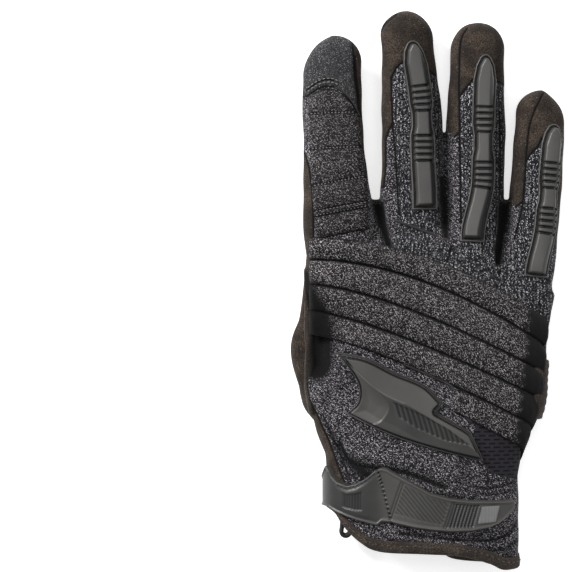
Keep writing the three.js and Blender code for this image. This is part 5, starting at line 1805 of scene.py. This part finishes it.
def build_back_details(side):
    """Stitches and piped edges on the upper side."""
    finger = FINGERS[0]

    def on_index(along, aside):
        return np.column_stack(in_plan(finger, along * finger["length"], aside * finger["lane"] / 2))

    arc = np.array([*COVER_ARC, (0.67, 0.52), (0.6, 0.72)])
    threads = []
    for lifted in (0.018, 0.036):
        line = catmull(on_index(arc[:, 0] + lifted, arc[:, 1]), 60)[:36]
        threads.append(stitches(side, line, 1.9, 1.2, 0.25, 0.45))
    for share, grow in ((0.146, 1.2), (0.165, 1.2), (0.288, 0.7), (0.452, 0.7), (0.62, 0.65)):
        aside, along = index_seam(share, np.linspace(-0.94, 0.88, 12))
        threads.append(stitches(side, catmull(on_index(along, aside), 40), 1.5, 0.85, 0.2, grow))
    mesh_object("back_stitches", *joined(threads), GREY_THREAD, "suede")
    root = np.array(ROOT_SEAM[1:4]) * PALM_PLAN + (0, -1.2)
    pipes = [
        piping(side, catmull(on_index(arc[3:, 0], arc[3:, 1]), 30), 0.32, 0.5, 0.8),
        piping(side, catmull(root, 30), 0.6, 0.2, 0.8),
    ]
    mesh_object("back_piping", *joined(pipes), PIPING, "knit")


GLOVE, STALL, STALL_CORNER = hand_fields()
build_skins(GLOVE, STALL, STALL_CORNER)
BACK = Side(GLOVE, 2, True, 1.6)
STIFF_BACK = Side(GLOVE, 2, True, 3.5)
PALM = Side(GLOVE, 2, False, 1.6)
OUTER_SIDE = Side(GLOVE, 0, True, 1.6)
INNER_SIDE = Side(GLOVE, 0, False, 1.6)
build_ribs(BACK)
build_index_strips(BACK)
for entry in GUARDS:
    build_guard(entry, STIFF_BACK)
build_plate(STIFF_BACK)
build_strap()
build_reflector()
build_hem()
build_loop()
build_palm_layers(PALM)
build_tab(OUTER_SIDE)
build_gusset(INNER_SIDE)
build_back_details(BACK)

# Floor, light and camera
PHOTO = (569, 572)
PIXEL = 0.45  # millimetres a pixel of the frame
CENTRE = np.array([-65.25, -19.35, 18.0])
LENS = 180.0
SENSOR = 36
LIGHTS_AIM = Vector((0, 0, 0.01))


def floor_material():
    paint = Paint("pale_floor", 0.9, 0.2)
    speck = paint.noise(40, 2)
    paint.fill(paint.surface, {"Emission Color": (1, 1, 1, 1), "Emission Strength": 0.6})
    pale = paint.mix(paint.range(speck, 0.3, 0.7), (0.9, 0.9, 0.9, 1), (0.93, 0.93, 0.93, 1))
    return paint.done(pale, speck, 0.02, 0.1)


def add_floor():
    size, level = 3.0, -0.0002
    corners = [(x * size, y * size, level) for x, y in ((-1, -1), (1, -1), (1, 1), (-1, 1))]
    mesh = bpy.data.meshes.new("floor")
    mesh.from_pydata(corners, [], [(0, 1, 2, 3)])
    floor = bpy.data.objects.new("floor", mesh)
    mesh.materials.append(floor_material())
    bpy.context.scene.collection.objects.link(floor)


def add_light(name, place, size, power):
    data = bpy.data.lights.new(name, "AREA")
    data.shape = "RECTANGLE"
    data.size, data.size_y = size
    data.energy = power
    light = bpy.data.objects.new(name, data)
    light.location = place
    light.rotation_euler = (LIGHTS_AIM - Vector(place)).to_track_quat("-Z", "Y").to_euler()
    bpy.context.scene.collection.objects.link(light)


def add_camera():
    centre = row(CENTRE)
    width = PHOTO[0] * PIXEL / 1000
    data = bpy.data.cameras.new("camera")
    data.lens = LENS
    data.sensor_width = SENSOR
    data.clip_start = 0.05
    camera = bpy.data.objects.new("camera", data)
    camera.location = (centre[0], centre[1], centre[2] + width * LENS / SENSOR)
    bpy.context.scene.collection.objects.link(camera)
    bpy.context.scene.camera = camera


add_floor()
add_light("key", (-0.75, 0.65, 0.62), (0.4, 0.4), 17)
add_light("fill", (0.9, 0.0, 0.9), (0.9, 0.9), 2.5)
add_light("top", (0.0, 0.5, 1.3), (0.8, 0.8), 5)
add_camera()
world = bpy.data.worlds.new("studio")
world.use_nodes = True
world.node_tree.nodes["Background"].inputs["Color"].default_value = (1, 1, 1, 1)
world.node_tree.nodes["Background"].inputs["Strength"].default_value = 0.35
bpy.context.scene.world = world
bpy.context.scene.view_settings.view_transform = "Standard"
